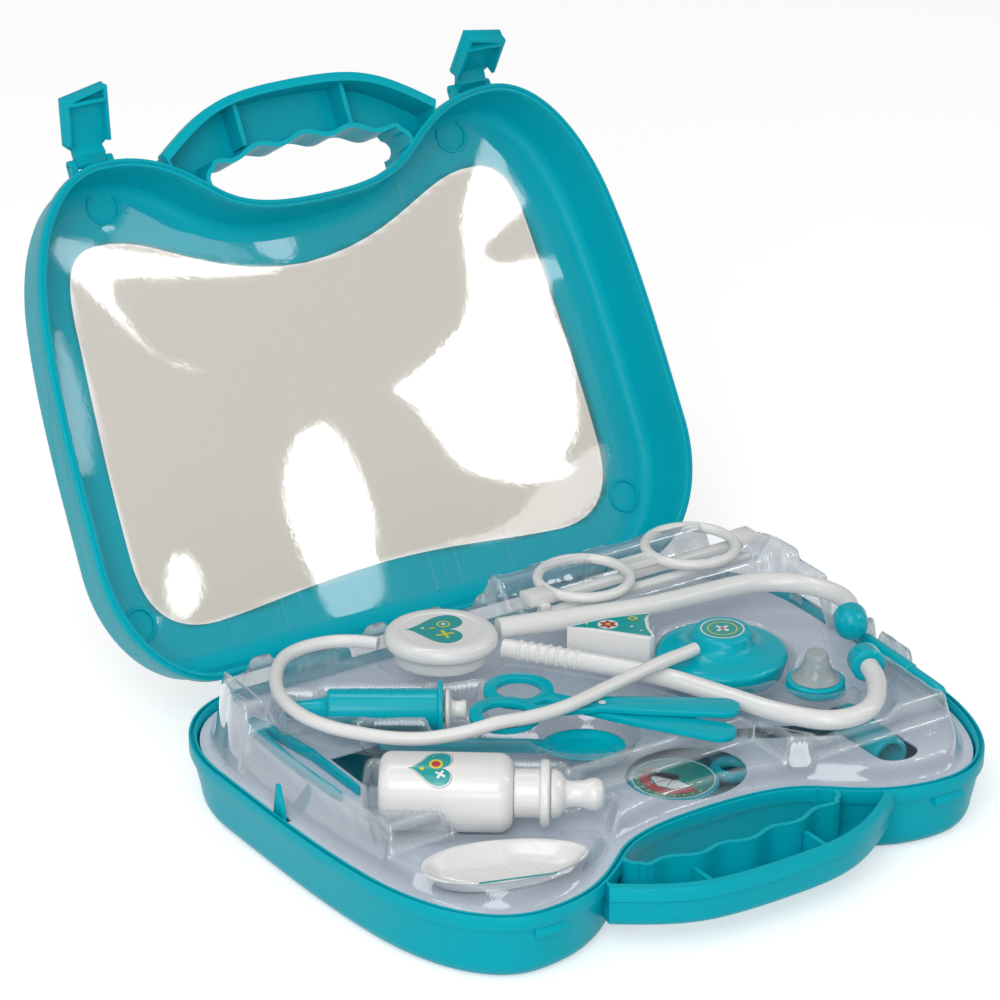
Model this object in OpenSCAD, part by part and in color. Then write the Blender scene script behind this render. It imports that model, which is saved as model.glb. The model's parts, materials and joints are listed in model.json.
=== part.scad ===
// Toy doctor case: hinged two-half carry case with formed inserts and play tools.
// Millimetres, +Z up, +X along the hinge, front (handle) towards -Y.
// The origin is the centre of the base's underside.

/* [Case] */
// width of the case over the rim
case_w = 290; // [260:1:320]
// height of the base half, underside to rim
base_h = 30; // [26:1:36]
// depth of the lid half, rim to outer face
lid_h = 31; // [29:1:36]
// plastic wall thickness
wall = 2; // [1.5:0.1:3]
// inset of the base's underside against its rim
base_draft = 6; // [3:0.5:9]
// inset of the lid's outer face against its rim
lid_draft = 3.9; // [2:0.1:8]
// height of the proud rim band
band_h = 6; // [4:0.5:8]
// how far the rim band stands out of the wall
band_out = 1.3; // [0.8:0.1:2]
// rounding of the outer bottom edge
edge_r = 8; // [5:0.5:10]
// depth of the handle's half shells
handle_h = 18.5; // [16:0.5:20]
// how far the handle reaches in front of the hinge edge
handle_y = 236.7; // [230:0.5:240]
// toy gauge radius
gauge_r = 18; // [14:0.5:18]
// lid opening angle in the stored pose
open_deg = 120; // [95:1:125]

/* [Hinge] */
// distance of the hinge axis behind the rim
hinge_out = 3.5; // [3.2:0.1:5]
// hinge knuckle radius
knuckle_r = 3.1; // [2.8:0.1:3.4]
// hinge pin radius
pin_r = 1.5; // [1:0.1:2]
// radial running clearance of pins
pin_gap = 0.05; // [0.03:0.01:0.1]
// hinge centre distance from the middle
hinge_x = 62; // [50:1:80]
// half length of one hinge
hinge_len = 13; // [10:1:18]

/* [Latches] */
// latch tab width
latch_w = 20; // [16:1:24]
// latch tab length
latch_l = 28; // [24:1:31]
// latch centre from the middle
latch_x = 93; // [85:1:98]
// latch pin radius
latch_pin_r = 1; // [0.8:0.1:1.2]

/* [Inserts] */
// card top height
card_z = 27; // [26:0.5:28]
// card thickness
card_t = 0.8; // [0.5:0.1:1.5]
// clear tray film thickness
film_t = 0.5; // [0.4:0.1:0.8]
// clear tray low terrace height
deck_a = 36; // [35:0.5:38]
// clear tray main deck height
deck_b = 46.4; // [46:0.1:46.6]
// clear tray rear deck height
deck_c = 52.8; // [52:0.1:53]
// lid window film thickness
window_t = 0.4; // [0.3:0.1:0.6]

/* [Stethoscope] */
// hub radius
hub_r = 22.5; // [20:0.5:23]
// hub top height
hub_z = 56.5; // [55:0.5:57]
// upper arm radius at the hub
arm_r = 4.5; // [4:0.1:4.6]
// tube radius
tube_r = 2.75; // [2.5:0.05:2.9]
// ear tip radius
tip_r = 7; // [6:0.5:7.5]
// chest piece radius
chest_r = 26; // [24:0.5:27]

/* [Glasses] */
// ring radius to the outside
ring_r = 21.5; // [20:0.5:22]
// ring wire radius
ring_t = 2.2; // [1.8:0.1:2.3]

/* [Syringe] */
// barrel radius
barrel_r = 8.5; // [8:0.1:8.8]
// barrel length
barrel_l = 45; // [40:1:48]
// radial gap between plunger and barrel
plunger_gap = 0.1; // [0.06:0.01:0.1]

/* [Bottle] */
// bottle radius
bottle_r = 14.3; // [13:0.1:14.4]
// bottle body length
bottle_l = 51; // [46:1:54]

/* [Scissors] */
// handle ring outer radius
sring_r = 14; // [12:0.5:14.5]
// blade half width
blade_w = 6.5; // [5:0.5:7]

/* [Hidden] */
case_d = 218;
latch_up = 14.5; // latch axis above the lid's rim
// how far the latches stand folded at rest
fold_left = 25;
fold_right = 58;
// plate above its axis, and how much the inner side is longer
latch_rise = 2.5;
latch_skew = 4;
handle_e = 5;
band_step = 0.4;
join_gap = 0.03;
plate_gap = 0.02;
hinge_y = hinge_out;
parting = 0.3;
teal = [0.0,0.66,0.72];
white = [0.9,0.9,0.89];
clear = [0.8,0.88,0.92,0.35];
hw = case_w/2;

// outlines
function bz(a,b,c,d,n) = [for(i=[0:n-1]) let(t=i/n) pow(1-t,3)*a+3*(1-t)*(1-t)*t*b+3*(1-t)*t*t*c+t*t*t*d];
p1=[102.2,0];
p2=[hw,-55.2];
p3=[hw-5.6,-159];
p4=[93.8,-217.9];
neck=[66.8,-215.9];
side_half = concat(bz([0,0],[34,0],[68,0],p1,4), bz(p1,[p1[0]+23.5,0],p2+[0,30.4],p2,12),
  bz(p2,p2-[0.7,34.6],p3+[5.2,34.2],p3,5), bz(p3,p3-[4.8,32.1],p4+[25.1,0],p4,12));
body_half = concat(side_half, bz(p4,p4-[24,0],[58,-207],[45,-196.5],7),
    bz([45,-196.5],[34,-188],[18,-186.5],[0,-186.5],7), [[0,-186.5]]);
arch_half = concat(bz(neck,neck-[24.5,17.4],[33.4,-handle_y],[0,-handle_y],14), [[0,-handle_y]]);
function mir(h) = let(n=len(h)) concat(h,[for(i=[n-2:-1:1]) [-h[i][0],h[i][1]]]);
function nrm(p) = let(n=len(p)) [for(i=[0:n-1]) let(d=p[(i+1)%n]-p[(i+n-1)%n]) [-d[1],d[0]]/norm(d)];
function inset(p,d) = let(q=nrm(p)) [for(i=[0:len(p)-1]) p[i]-q[i]*d];
body = mir(body_half);

// solid through rings [[z, points], ...] going up, points clockwise seen from above
module loft(r) {
  n=len(r[0][1]);
  m=len(r);
  polyhedron(points=[for(k=[0:m-1]) for(q=r[k][1]) [q[0],q[1],r[k][0]]],
    faces=concat([[for(i=[n-1:-1:0]) i]], [[for(i=[0:n-1]) (m-1)*n+i]],
      [for(k=[0:m-2]) for(i=[0:n-1]) [k*n+i,k*n+(i+1)%n,(k+1)*n+(i+1)%n]],
      [for(k=[0:m-2]) for(i=[0:n-1]) [k*n+i,(k+1)*n+(i+1)%n,(k+1)*n+i]]), convexity=8);
}
function flip(r) = [for(i=[len(r)-1:-1:0]) r[i]];
// w runs outward from the parting face; s is +1 for the lid and -1 for the base
function zw(w,s,z0) = z0+s*w;
function outer_ring(d,draft,e) = let(dr=(draft-band_out)/(d-band_h), i1=band_out+dr*(d-e-band_h))
  concat([[0,0],[band_h,0],[band_h+band_step,band_out],[d-e,i1]],
      [for(a=[22.5,45,67.5,90]) [d-e+e*sin(a), i1+e*(1-cos(a))]]);
function inner_ring(d,draft,e)
    = let(dr=(draft-band_out)/(d-band_h), i1=band_out+dr*(d-e-band_h)+wall, f=e-wall)
  concat([[-1,band_out+wall],[band_h,band_out+wall],[d-e,i1]],
      [for(a=[30,60,90]) [d-e+f*sin(a), i1+f*(1-cos(a))]]);
module shell_loft(p,rs,z0,s) {
  r=[for(q=rs) [zw(q[0],s,z0), inset(p,q[1])]];
  if(s>0) loft(r);
  else loft(flip(r));
}

// handle crescent: arch points move by the inset, the closing line does not
close_pts = [[-62,-203],[-50,-186],[-30,-176],[0,-172],[30,-176],[50,-186],[62,-203]];
arch_all = concat(arch_half,[for(i=[len(arch_half)-2:-1:0]) [-arch_half[i][0],arch_half[i][1]]]);
function arch_in(d) = let(p=arch_all,n=len(p))
    [for(i=[0:n-1]) let(a=p[max(i-1,0)],b=p[min(i+1,n-1)],t=b-a) p[i]-[-t[1],t[0]]/norm(t)*d];
function crescent(d) = concat(arch_in(d), close_pts);
module handle_solid(z0,s) {
  e=handle_e;
  r=[for(q=concat([[0,0],[band_h,0],[band_h+band_step,band_out],[handle_h-e,band_out+0.8]],
      [for(a=[30,60,90]) [handle_h-e+e*sin(a), band_out+0.8+e*(1-cos(a))]]))
      [zw(q[0],s,z0), crescent(q[1])]];
  if(s>0) loft(r);
  else loft(flip(r));
}
// finger hole with a wavy grip edge
hole_x = 44;
module hole2d(g=0) {
  offset(delta=g) polygon(concat([[-hole_x,-170],[hole_x,-170]],
   [for(i=[0:5]) let(a=90-i*30) [hole_x+4.6*cos(a), -200.9+4.5*sin(a)]],
   [for(i=[0:32]) let(x=hole_x-2*hole_x*i/32) [x, -206.3-4.7*(1-pow(abs(x)/hole_x,2))-1.4*cos(x*15.6)]],
   [for(i=[1:5]) let(a=270-i*30) [-hole_x+4.6*cos(a), -200.9+4.5*sin(a)]]));
}
module tiers(w0,w1,z0,s) {
  translate([0,0,s>0?z0+w0:z0-w1]) linear_extrude(w1-w0) children();
}
// wall ring of a half, up to its face plate
module half_shell(d,draft,z0,s) difference() {
  shell_loft(body,outer_ring(d,draft,edge_r),z0,s);
  shell_loft(body,inner_ring(d,draft,edge_r),z0,s);
  tiers(d-wall-plate_gap/2,d+2,z0,s) translate([-200,-300]) square(400);
}
module half_face(d,draft,z0,s) intersection() {
  shell_loft(body,outer_ring(d,draft,edge_r),z0,s);
  tiers(d-wall+plate_gap/2,d+2,z0,s) translate([-200,-300]) square(400);
}
function shift_ring(r,g) = [for(q=r) [q[0],q[1]+g]];
// the outer form of a half, grown by the joint gap, to cut the handle to it
function cut_ring(d,draft,e) = let(r=outer_ring(d,draft,e))
    concat([[-2,-join_gap]],[for(i=[1:len(r)-1]) [r[i][0],r[i][1]-join_gap]]);
module half_handle(d,draft,z0,s) {
  difference() {
    handle_solid(z0,s);
    shell_loft(body,cut_ring(d,draft,edge_r),z0,s);
    tiers(-1,handle_h-handle_e,z0,s) difference() {
      polygon(crescent(band_out+wall));
      hole2d(wall);
    }
    tiers(-1,handle_h-wall,z0,s) difference() {
      polygon(crescent(band_out+wall+3));
      hole2d(wall+0.4);
    }
    tiers(-1,handle_h+1,z0,s) hole2d();
  }
  // two cross ribs in the handle channel
  for(x=[-26,26]) translate([x-1,0,0]) tiers(6,handle_h-1,z0,s)
      polygon([[0,-212],[2,-212],[2,-232.3],[0,-232.3]]);
  for(x=[-26,26]) translate([x-1,0,0]) tiers(2.2,6.1,z0,s)
      polygon([[0,-224],[2,-224],[2,-232.3],[0,-232.3]]);
}
module yshift() translate([0,case_d/2,0]) children();
module lid_open() translate([0,hinge_y,base_h]) rotate([-open_deg,0,0]) translate([0,-hinge_y,-base_h])
    children();

// base
module base_handle() color(teal) yshift() half_handle(base_h,base_draft,base_h,-1);
rib_spots = [[-100,-8,2,7],[100,-8,2,7],[0,-7,2,7],[-138,-70,8,2],[138,-70,8,2],[-132,-164,8,2],
    [132,-164,8,2],[-40,-189.5,2,8],[40,-189.5,2,8]];
module base_floor() color(teal) yshift() half_face(base_h,base_draft,base_h,-1);
module base_ribs() color(teal) yshift() {
  // card ledge ribs and cradles, kept inside the shell
  intersection() {
    shell_loft(body,shift_ring(inner_ring(base_h,base_draft,edge_r),0.02),base_h,-1);
    union() {
      for(q=rib_spots) translate([q[0]-q[2]/2,q[1]-q[3]/2,wall+0.02])
          cube([q[2],q[3],card_z-card_t-0.3-wall-0.02]);
      for(y=[-160,-140]) translate([-8,y,wall+0.02]) cube([22,1.6,16.7-wall-0.02]);
      for(y=[-175,-157]) translate([87,y,wall+0.02]) cube([14,1.6,15.7-wall-0.02]);
      translate([44,-138,wall+0.02]) cube([1.6,12,17.7-wall-0.02]);
      translate([34,-164,wall+0.02]) cube([1.6,20,19.2-wall-0.02]);
    }
  }
}
module base_shell() color(teal) yshift() {
  difference() {
    half_shell(base_h,base_draft,base_h,-1);
    // lip groove in the rim face
    translate([0,0,base_h-1.6]) linear_extrude(3) difference() {
      polygon(inset(body,1));
      polygon(inset(body,2.2));
    }
  }
  // rim fin on its ledge
  intersection() {
    shell_loft(body,shift_ring(inner_ring(base_h,base_draft,edge_r),-0.7),base_h,-1);
    translate([-143,-102,12]) cube([5.2,8,14]);
  }
  translate([-139.4,-98,20]) rotate([90,0,90]) linear_extrude(1.6)
      polygon([[-4,0],[4,0],[4,base_h-20],[0.8,base_h-3],[-0.6,base_h-3],[-2.2,base_h-14],[-4,base_h-20]]);
  // hinge ears
  for(sx=[-1,1]) difference() {
    for(k=[-1,1]) translate([sx*hinge_x+k*hinge_len-2,0,0]) {
      translate([0,hinge_y,base_h]) rotate([0,90,0]) cylinder(r=knuckle_r,h=4,$fn=32);
      translate([0,-0.9,base_h-band_h]) cube([4,hinge_y+0.9,band_h-0.4]);
    }
    translate([sx*hinge_x-20,hinge_y,base_h]) rotate([0,90,0]) cylinder(r=pin_r+pin_gap,h=40,$fn=32);
  }
  // latch catches
  for(sx=[-1,1]) translate([sx*latch_x-7,-case_d,0]) rotate([90,0,90]) linear_extrude(14)
      polygon([[3,20.2],[-0.2,20.2],[-0.2,21.4],[1.2,23.9],[3,23.9]]);
}
module hinge_pin(sx) translate([sx*hinge_x-hinge_len-1.5,hinge_y,base_h]) rotate([0,90,0])
    cylinder(r=pin_r,h=2*hinge_len+3,$fn=32);
module hinge_pin_left() color([0.75,0.76,0.78]) yshift() hinge_pin(-1);
module hinge_pin_right() color([0.75,0.76,0.78]) yshift() hinge_pin(1);

module insert_card() color([0.86,0.88,0.93]) yshift() translate([0,0,card_z-card_t]) linear_extrude(card_t)
    difference() {
  polygon(inset(body,4.4));
  translate([13,-153]) scale([1,0.86]) circle(r=25,$fn=48);
  translate([83.5,-191]) polygon(concat([for(a=[180:15:360]) [9.6+9.6*cos(a),8+8*sin(a)]],
      [[19.2,50],[12,52],[-2,44],[-34,60],[-44,56],[-30,46],[0,30]]));
  translate([-98,-97]) square([26,30]);
  translate([-142,-103]) square([6,10]);
}

// clear tray
module seg(a,b,r) hull() {
  translate(a) circle(r=r,$fn=16);
  translate(b) circle(r=r,$fn=16);
}
module path2d(p,r) for(i=[0:len(p)-2]) seg([p[i][0],p[i][1]],[p[i+1][0],p[i+1][1]],r);
module terr(z,e) translate([0,0,card_z+0.3-0.01*e]) linear_extrude(z-e-card_z-0.3) offset(delta=-e)
    children();
module pit(z,e) translate([0,0,z-e]) linear_extrude(80) offset(delta=e) children();
syr_a = [-92,-56];
syr_dir = -32.4;
bot_a=[-111,-126];
bot_dir=-35;
module syr_at() translate([syr_a[0],syr_a[1],42]) rotate([0,0,syr_dir]) rotate([0,90,0]) children();
module bot_at() translate([bot_a[0],bot_a[1],43.2]) rotate([0,0,bot_dir]) rotate([0,90,0]) children();
arm_u = [[-12,-46,51.5],[6,-50.5,51.5],[24,-55.5,51.5],[40,-60,51.5],[56,-63.5,51.5],[70,-65,51.5],
    [84,-66,51.5],[98,-67,51.5],[108,-69,51.5],[117,-74,51.5],[124,-81,51.5],[128.5,-90,51.5],
    [130,-99,51.5],[128,-107,51.5],[123,-114,51.5]];
arm_f = [[-14,-51,47.6],[-5,-63,47.6],[4,-75,47.6],[12,-86,47.6],[20,-97.5,47.6],[27,-108,47.6],
    [33,-120,47.6],[38,-133,47.6],[43,-146,47.6],[48,-159,47.6],[54,-170,47.7],[60.5,-178.5,47.9],
    [68.5,-182.5,48.2],[77,-182.5,48.5],[85,-178.5,48.8],[92,-171.5,49],[98,-163,49.2],[102,-154,49.4]];
gl = [[46,-33,55.3],[102,-31,55.3]];
chest = [64,-106];
oto=[84,-142.5];
module terrain(e) difference() {
  union() {
    terr(deck_a,e) polygon(inset(body,9));
    terr(deck_b,e) intersection() {
      polygon(inset(body,11));
      union() {
        translate([-150,-160]) square([300,170]);
        translate([40,-186]) square([110,60]);
      }
    }
    terr(deck_c,e) intersection() {
      polygon(inset(body,12));
      translate([8,-57]) square([140,60]);
    }
    terr(54,e) intersection() {
      polygon(inset(body,12));
      translate([-140,-52]) square([20,40]);
    }
  }
  pit(42.7,e) hub2d(1.6);
  pit(46.5,e) path2d(arm_u,5.8);
  pit(43.3,e) path2d(arm_f,5.4);
  pit(42.1,e) union() {
    seg([122.4,-114.9],[115.4,-126],8.2);
    seg([102.4,-153],[107.4,-140],8.2);
  }
  pit(47,e) union() {
    seg([18,-31],[130,-29],4.6);
    seg([18,-42],[126,-41],4.6);
  }
  pit(33.2,e) translate(syr_a) rotate(syr_dir) {
    translate([-1.5,-9.6]) square([49,19.2]);
    translate([-19,-6]) square([20,12]);
  }
  pit(29.9,e) translate(syr_a) rotate(syr_dir) translate([barrel_l-2.4,-13.2]) square([16.9,26.4]);
  pit(37.7,e) translate(chest) circle(r=chest_r+1.3,$fn=48);
  pit(39.7,e) translate(oto) circle(r=13.4,$fn=32);
  pit(43,e) offset(delta=1.6) badge2d();
  pit(37,e) union() {
    translate([-22,-133]) rotate(-33) scale([1,0.8]) circle(r=18.5,$fn=32);
    seg([-34,-123],[-88,-86],6);
  }
  pit(28.5,e) translate(bot_a) rotate(bot_dir) {
    translate([-1.6,-15.8]) square([bottle_l+17,31.6]);
    translate([60,-10.5]) square([27,21]);
  }
  pit(deck_a,e) path2d([[129.5,-108],[124.5,-176]],4.6);
}
module tray_film() color(clear) yshift() difference() {
  union() {
    difference() {
      terrain(0);
      translate([0,0,-0.02]) terrain(film_t);
    }
    translate([0,0,card_z+0.3]) linear_extrude(film_t) difference() {
      polygon(inset(body,5));
      polygon(inset(body,9.3));
    }
  }
  translate([-142,-103,20]) cube([6,10,40]);
}

// lid (drawn closed, then opened)
win_half = concat(bz([0,-30],[34,-30],[60,-25],[86,-24],6), bz([86,-24],[108,-24],[117,-36],[117,-58],8),
    bz([117,-58],[117,-90],[115,-120],[113,-150],5),
   bz([113,-150],[112,-176],[108,-187],[94,-188],8), bz([94,-188],[66,-190],[50,-164],[0,-162.5],8),
       [[0,-162.5]]);
win = mir(win_half);
module latch_axis(sx) translate([sx*latch_x,-case_d-2.6,base_h+parting+latch_up]) children();
module lid_shell() color(teal) yshift() lid_open() {
  half_shell(lid_h,lid_draft,base_h+parting,1);
  // tongue that enters the base's groove
  translate([0,0,base_h+parting-1.2]) linear_extrude(2) difference() {
    polygon(inset(body,1.35));
    polygon(inset(body,1.85));
  }
  // hinge knuckles
  for(sx=[-1,1]) difference() {
    union() {
      translate([sx*hinge_x-hinge_len+2.3,hinge_y,base_h]) rotate([0,90,0])
          cylinder(r=knuckle_r,h=2*hinge_len-4.6,$fn=32);
      translate([sx*hinge_x-hinge_len+2.3,-1.5,base_h+parting]) cube([2*hinge_len-4.6,hinge_y+1.5,3.4]);
    }
    translate([sx*hinge_x-20,hinge_y,base_h]) rotate([0,90,0]) cylinder(r=pin_r+pin_gap,h=40,$fn=32);
  }
  // latch lugs
  for(sx=[-1,1]) latch_axis(sx) difference() {
    for(k=[-1,1]) translate([k*(latch_w/2-1.5)-1.5,0,0]) {
      rotate([0,90,0]) cylinder(r=2.2,h=3,$fn=24);
      translate([0,0,-2.2]) cube([3,5.8,4.4]);
    }
    translate([-20,0,0]) rotate([0,90,0]) cylinder(r=latch_pin_r+pin_gap,h=40,$fn=24);
  }
}
stake_ring = let(r=shift_ring(inner_ring(lid_h,lid_draft,edge_r),0.02))
    concat(r,[[lid_h-wall+0.6,r[len(r)-1][1]]]);
stakes = [[-86,-203],[86,-203],[-121.2,-30.9],[121.2,-30.9]];
module lid_face() color(teal) yshift() lid_open() {
  difference() {
    half_face(lid_h,lid_draft,base_h+parting,1);
    translate([0,0,base_h+lid_h-5]) linear_extrude(10) polygon(win);
  }
  // round film stakes inside the shoulders and the rear corners
  intersection() {
    shell_loft(body,stake_ring,base_h+parting,1);
    for(q=stakes) translate([q[0],q[1],base_h+parting+lid_h-wall-1]) difference() {
      cylinder(r=7.5,h=1.3,$fn=32);
      translate([0,0,-1]) cylinder(r=6.3,h=3,$fn=32);
    }
  }
}
module lid_handle() color(teal) yshift() lid_open() half_handle(lid_h,lid_draft,base_h+parting,1);
module window_film() color(clear) yshift() lid_open() difference() {
  translate([0,0,base_h+parting+lid_h-wall-0.3-window_t]) linear_extrude(window_t)
      polygon(inset(body,12.2));
  for(q=stakes) translate([q[0],q[1],50]) cylinder(r=8,h=12,$fn=24);
}
module latch_pin(sx) yshift() lid_open() latch_axis(sx) translate([-latch_w/2,0,0]) rotate([0,90,0])
    cylinder(r=latch_pin_r,h=latch_w,$fn=24);
module latch_pin_left() color([0.75,0.76,0.78]) latch_pin(-1);
module latch_pin_right() color([0.75,0.76,0.78]) latch_pin(1);
// a box-shaped tab: raised plate, side flanges, skew end cap and the bar that hooks the catch
module latch(sx) yshift() lid_open() latch_axis(sx) rotate([sx<0?fold_left:fold_right,0,0]) {
  w=latch_w/2;
  la=latch_l+(sx>0?latch_skew:0);
  lb=latch_l+(sx<0?latch_skew:0);
  difference() {
    union() {
      translate([-w+3.3,0,0]) rotate([0,90,0]) cylinder(r=2.1,h=latch_w-6.6,$fn=24);
      translate([-w+3.3,0,0]) rotate([90,0,90]) linear_extrude(latch_w-6.6)
          polygon([[0,-1.9],[-4.4,-1.9],[-8.2,latch_rise+0.4],[-8.2,latch_rise+1.8],[-6.2,latch_rise+1.8],
          [-1,1.9],[0,1.9]]);
    }
    translate([-20,0,0]) rotate([0,90,0]) cylinder(r=latch_pin_r+pin_gap,h=40,$fn=24);
  }
  translate([0,0,latch_rise]) linear_extrude(2)
      polygon([[-w+3,-5.6],[-w,-8],[-w,-la],[w,-lb],[w,-8],[w-3,-5.6]]);
  translate([0,0,-2.1]) linear_extrude(latch_rise+2.3)
      polygon([[-w+0.3,-8.3],[-w+0.3,-la+0.3],[w-0.3,-lb+0.3],[w-0.3,-8.3],[w-1.9,-8.3],[w-1.9,-lb+1.9],
      [-w+1.9,-la+1.9],[-w+1.9,-8.3]]);
  translate([-w+1.1,-latch_up-12,-2.8]) cube([latch_w-2.2,1.4,latch_rise+3.1]);
}
module latch_left() color(teal) latch(-1);
module latch_right() color(teal) latch(1);

// stethoscope
hub_c = [-32,-43];
function egg(r,n=48) = [for(i=[0:n-1]) let(a=-i*360/n, k=r*(1+0.05*cos(a+40)+0.035*cos(2*(a+40))))
    [hub_c[0]+k*cos(a), hub_c[1]+k*sin(a)]];
module hub2d(g=0) polygon(egg(hub_r+g));
module hub_lower() color(white) yshift() loft([[43,egg(hub_r-5)],[44,egg(hub_r-4)],[49.8,egg(hub_r-3.4)]]);
module hub_upper() color(white) yshift()
    loft([[50.1,egg(hub_r-0.8)],[50.9,egg(hub_r)],[54.6,egg(hub_r)],[55.8,egg(hub_r-0.7)],
    [hub_z,egg(hub_r-2.6)]]);
module heart2d(s) {
  n=48;
  polygon([for(i=[0:n-1]) let(a=-i*360/n) [s*(13*cos(a)-5*cos(2*a)-2*cos(3*a)-cos(4*a))/16,
      s*pow(sin(a),3)]]);
}
module hub_sticker() color([0.0,0.55,0.5]) yshift() translate([hub_c[0]+0.2,hub_c[1]+0.2,hub_z+0.01])
    rotate(-32) mirror([1,0]) rotate(180) linear_extrude(0.2) heart2d(14);
// round tube along points, ring every point
function tan3(p,i) = let(n=len(p),d=p[min(i+1,n-1)]-p[max(i-1,0)]) d/norm(d);
module sweep(p,r,k=12) {
  n=len(p);
  pts=[for(i=[0:n-1]) let(t=tan3(p,i), s=cross(t,[0,0,1]), u=s/norm(s), v=cross(u,t)) for(j=[0:k-1])
      let(a=j*360/k) p[i]+r[i]*(cos(a)*u+sin(a)*v)];
  polyhedron(points=pts, faces=concat([[for(j=[k-1:-1:0]) j]],[[for(j=[0:k-1]) (n-1)*k+j]],
    [for(i=[0:n-2]) for(j=[0:k-1]) [i*k+j,(i+1)*k+(j+1)%k,(i+1)*k+j]],
        [for(i=[0:n-2]) for(j=[0:k-1]) [i*k+j,i*k+(j+1)%k,(i+1)*k+(j+1)%k]]),convexity=6);
}
module hub_clear() translate([0,0,40]) linear_extrude(20) hub2d(0.3);
module arm_rear() color(white) yshift() difference() {
  sweep(arm_u,[for(i=[0:len(arm_u)-1]) arm_r-0.5*i/(len(arm_u)-1)],16);
  hub_clear();
}
module arm_front() color(white) yshift() difference() {
  sweep(arm_f,[for(i=[0:len(arm_f)-1]) 3.95],16);
  hub_clear();
  for(i=[0:5]) let(t=3+i*3.3) translate([-5+t*0.6,-63-t*0.8,49.4]) rotate(-53.1) translate([-0.9,-6,0])
      cube([1.7,12,5]);
}
module tip(a,b) {
  d=b-a;
  translate([a[0],a[1],a[2]]) rotate([0,0,atan2(d[1],d[0])]) rotate([0,90,0]) rotate_extrude($fn=32)
  polygon(concat([[0,0.1],[tip_r-0.8,0.1],[tip_r,0.9],[tip_r,7]],
      [for(w=[15:15:90]) [tip_r*cos(w),7+tip_r*0.75*sin(w)]]));
}
module ear_tip_rear() color(teal) yshift() tip([122.7,-114.5,50.4],[117,-123.5,50.4]);
module ear_tip_front() color(teal) yshift() tip([102.2,-153.6,49.4],[106,-143.5,49.4]);
tube_pts = [[-53.2,-31,50.6],[-59,-24.5,50.4],[-66,-19,50],[-74,-16.5,49.7],[-82,-16.5,49.6],
    [-90,-19.5,49.6],[-97,-26,49.6],[-103,-34.5,49.6],[-107.5,-44,49.6],[-110,-54,49.6],[-110.5,-64,49.6],
    [-109,-74,49.6],[-105,-84,49.6],[-99,-93,49.6],[-92,-101.5,49.6],[-83,-109,49.8],[-74,-115,51.2],
    [-65,-119.5,53],[-55,-123,55.1],[-45,-125.5,55.2],[-35,-126.5,55.2],[-25,-126,55.2],[-15,-124,55.1],
    [-5,-121.5,55],[5,-119,54.8],[14,-117,54.7],[23,-115,54.7],[32,-113.2,54.6],[40,-111.8,54.2],
    [47.5,-110.2,54]];
module steth_tube() color(white) yshift() sweep(tube_pts,[for(q=tube_pts) tube_r],8);
module chest_piece() color(teal) yshift() translate([chest[0],chest[1],0]) rotate_extrude($fn=64)
    polygon([[0,38],[24,38],[25.2,39],[chest_r,46.5],[25.6,48],[24,48.6],[19,49.2],[15.4,50.4],[13.4,52.2],
    [12.6,54.4],[12.2,56],[11,57],[0,57]]);
module chest_sticker() color([0.0,0.5,0.45]) yshift() translate([chest[0],chest[1],57.01])
    cylinder(r=9,h=0.2,$fn=48);
module oto_disc() color(teal) yshift() translate([oto[0],oto[1],0]) rotate_extrude($fn=48)
    polygon([[0,40],[11.5,40],[12,40.6],[12,42],[11.3,42.3],[11.3,43],[11.8,43.3],[11.8,44.2],[10.8,44.6],
    [0,44.6]]);
module oto_cone() color([0.6,0.65,0.68,0.6]) yshift() translate([oto[0],oto[1],0]) rotate_extrude($fn=48)
    polygon([[0,44.7],[10.4,44.7],[8.2,46.4],[6.4,49],[5.2,52],[4.6,55.2],[4.1,56.4],[0,56.4]]);
module badge2d() polygon([[15,-66],[33,-67.6],[51,-73.5],[46.5,-79],[42.5,-86],[40.5,-92.5],[37,-93.5],
    [30,-85],[22,-75]]);
module badge_block() color(white) yshift() translate([0,0,43.3]) linear_extrude(11.5) badge2d();
module badge_sticker() color([0.0,0.55,0.5]) yshift() translate([0,0,54.81]) linear_extrude(0.2)
    offset(delta=-0.7) badge2d();
module badge_motif() color([0.7,0.1,0.1]) yshift() translate([29.8,-74.2,55.02]) linear_extrude(0.15) {
  circle(r=2,$fn=24);
  for(a=[0:60:300]) rotate(a) translate([2.2,0]) circle(r=1.15,$fn=20);
}
module badge_dot() color([0.8,0.8,0.1]) yshift() translate([41.5,-75.2,55.02])
    cylinder(r=2.1,h=0.15,$fn=24);

// glasses
module glasses_rims() color(white) yshift() {
  for(g=gl) translate(g) rotate_extrude($fn=56) translate([ring_r-ring_t,0]) circle(r=ring_t,$fn=16);
  for(k=[-1,1]) translate([74-9.2,-32+k*3-1.1,54.2]) cube([18.4,2.2,2.4]);
  translate([14,-42,53.4]) cube([11.6,9,4]);
  translate([18.2,-44,51]) cube([4,4.6,2.6]);
  translate([124,-33,51]) cube([4,4.4,2.6]);
  translate([122.6,-40,53.4]) cube([8.6,9,4]);
}
module temple_left() color(white) yshift() translate([18,-44.6,47.3]) linear_extrude(3.4)
    polygon([[0,0],[104,0.6],[108,1.6],[108,4],[104,5],[0,5.2]]);
module temple_right() color(white) yshift() translate([18,-33.4,47.3]) linear_extrude(3.4)
    polygon([[0,1.4],[4,0.6],[112,1.8],[112,7],[4,5],[0,4]]);

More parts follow.
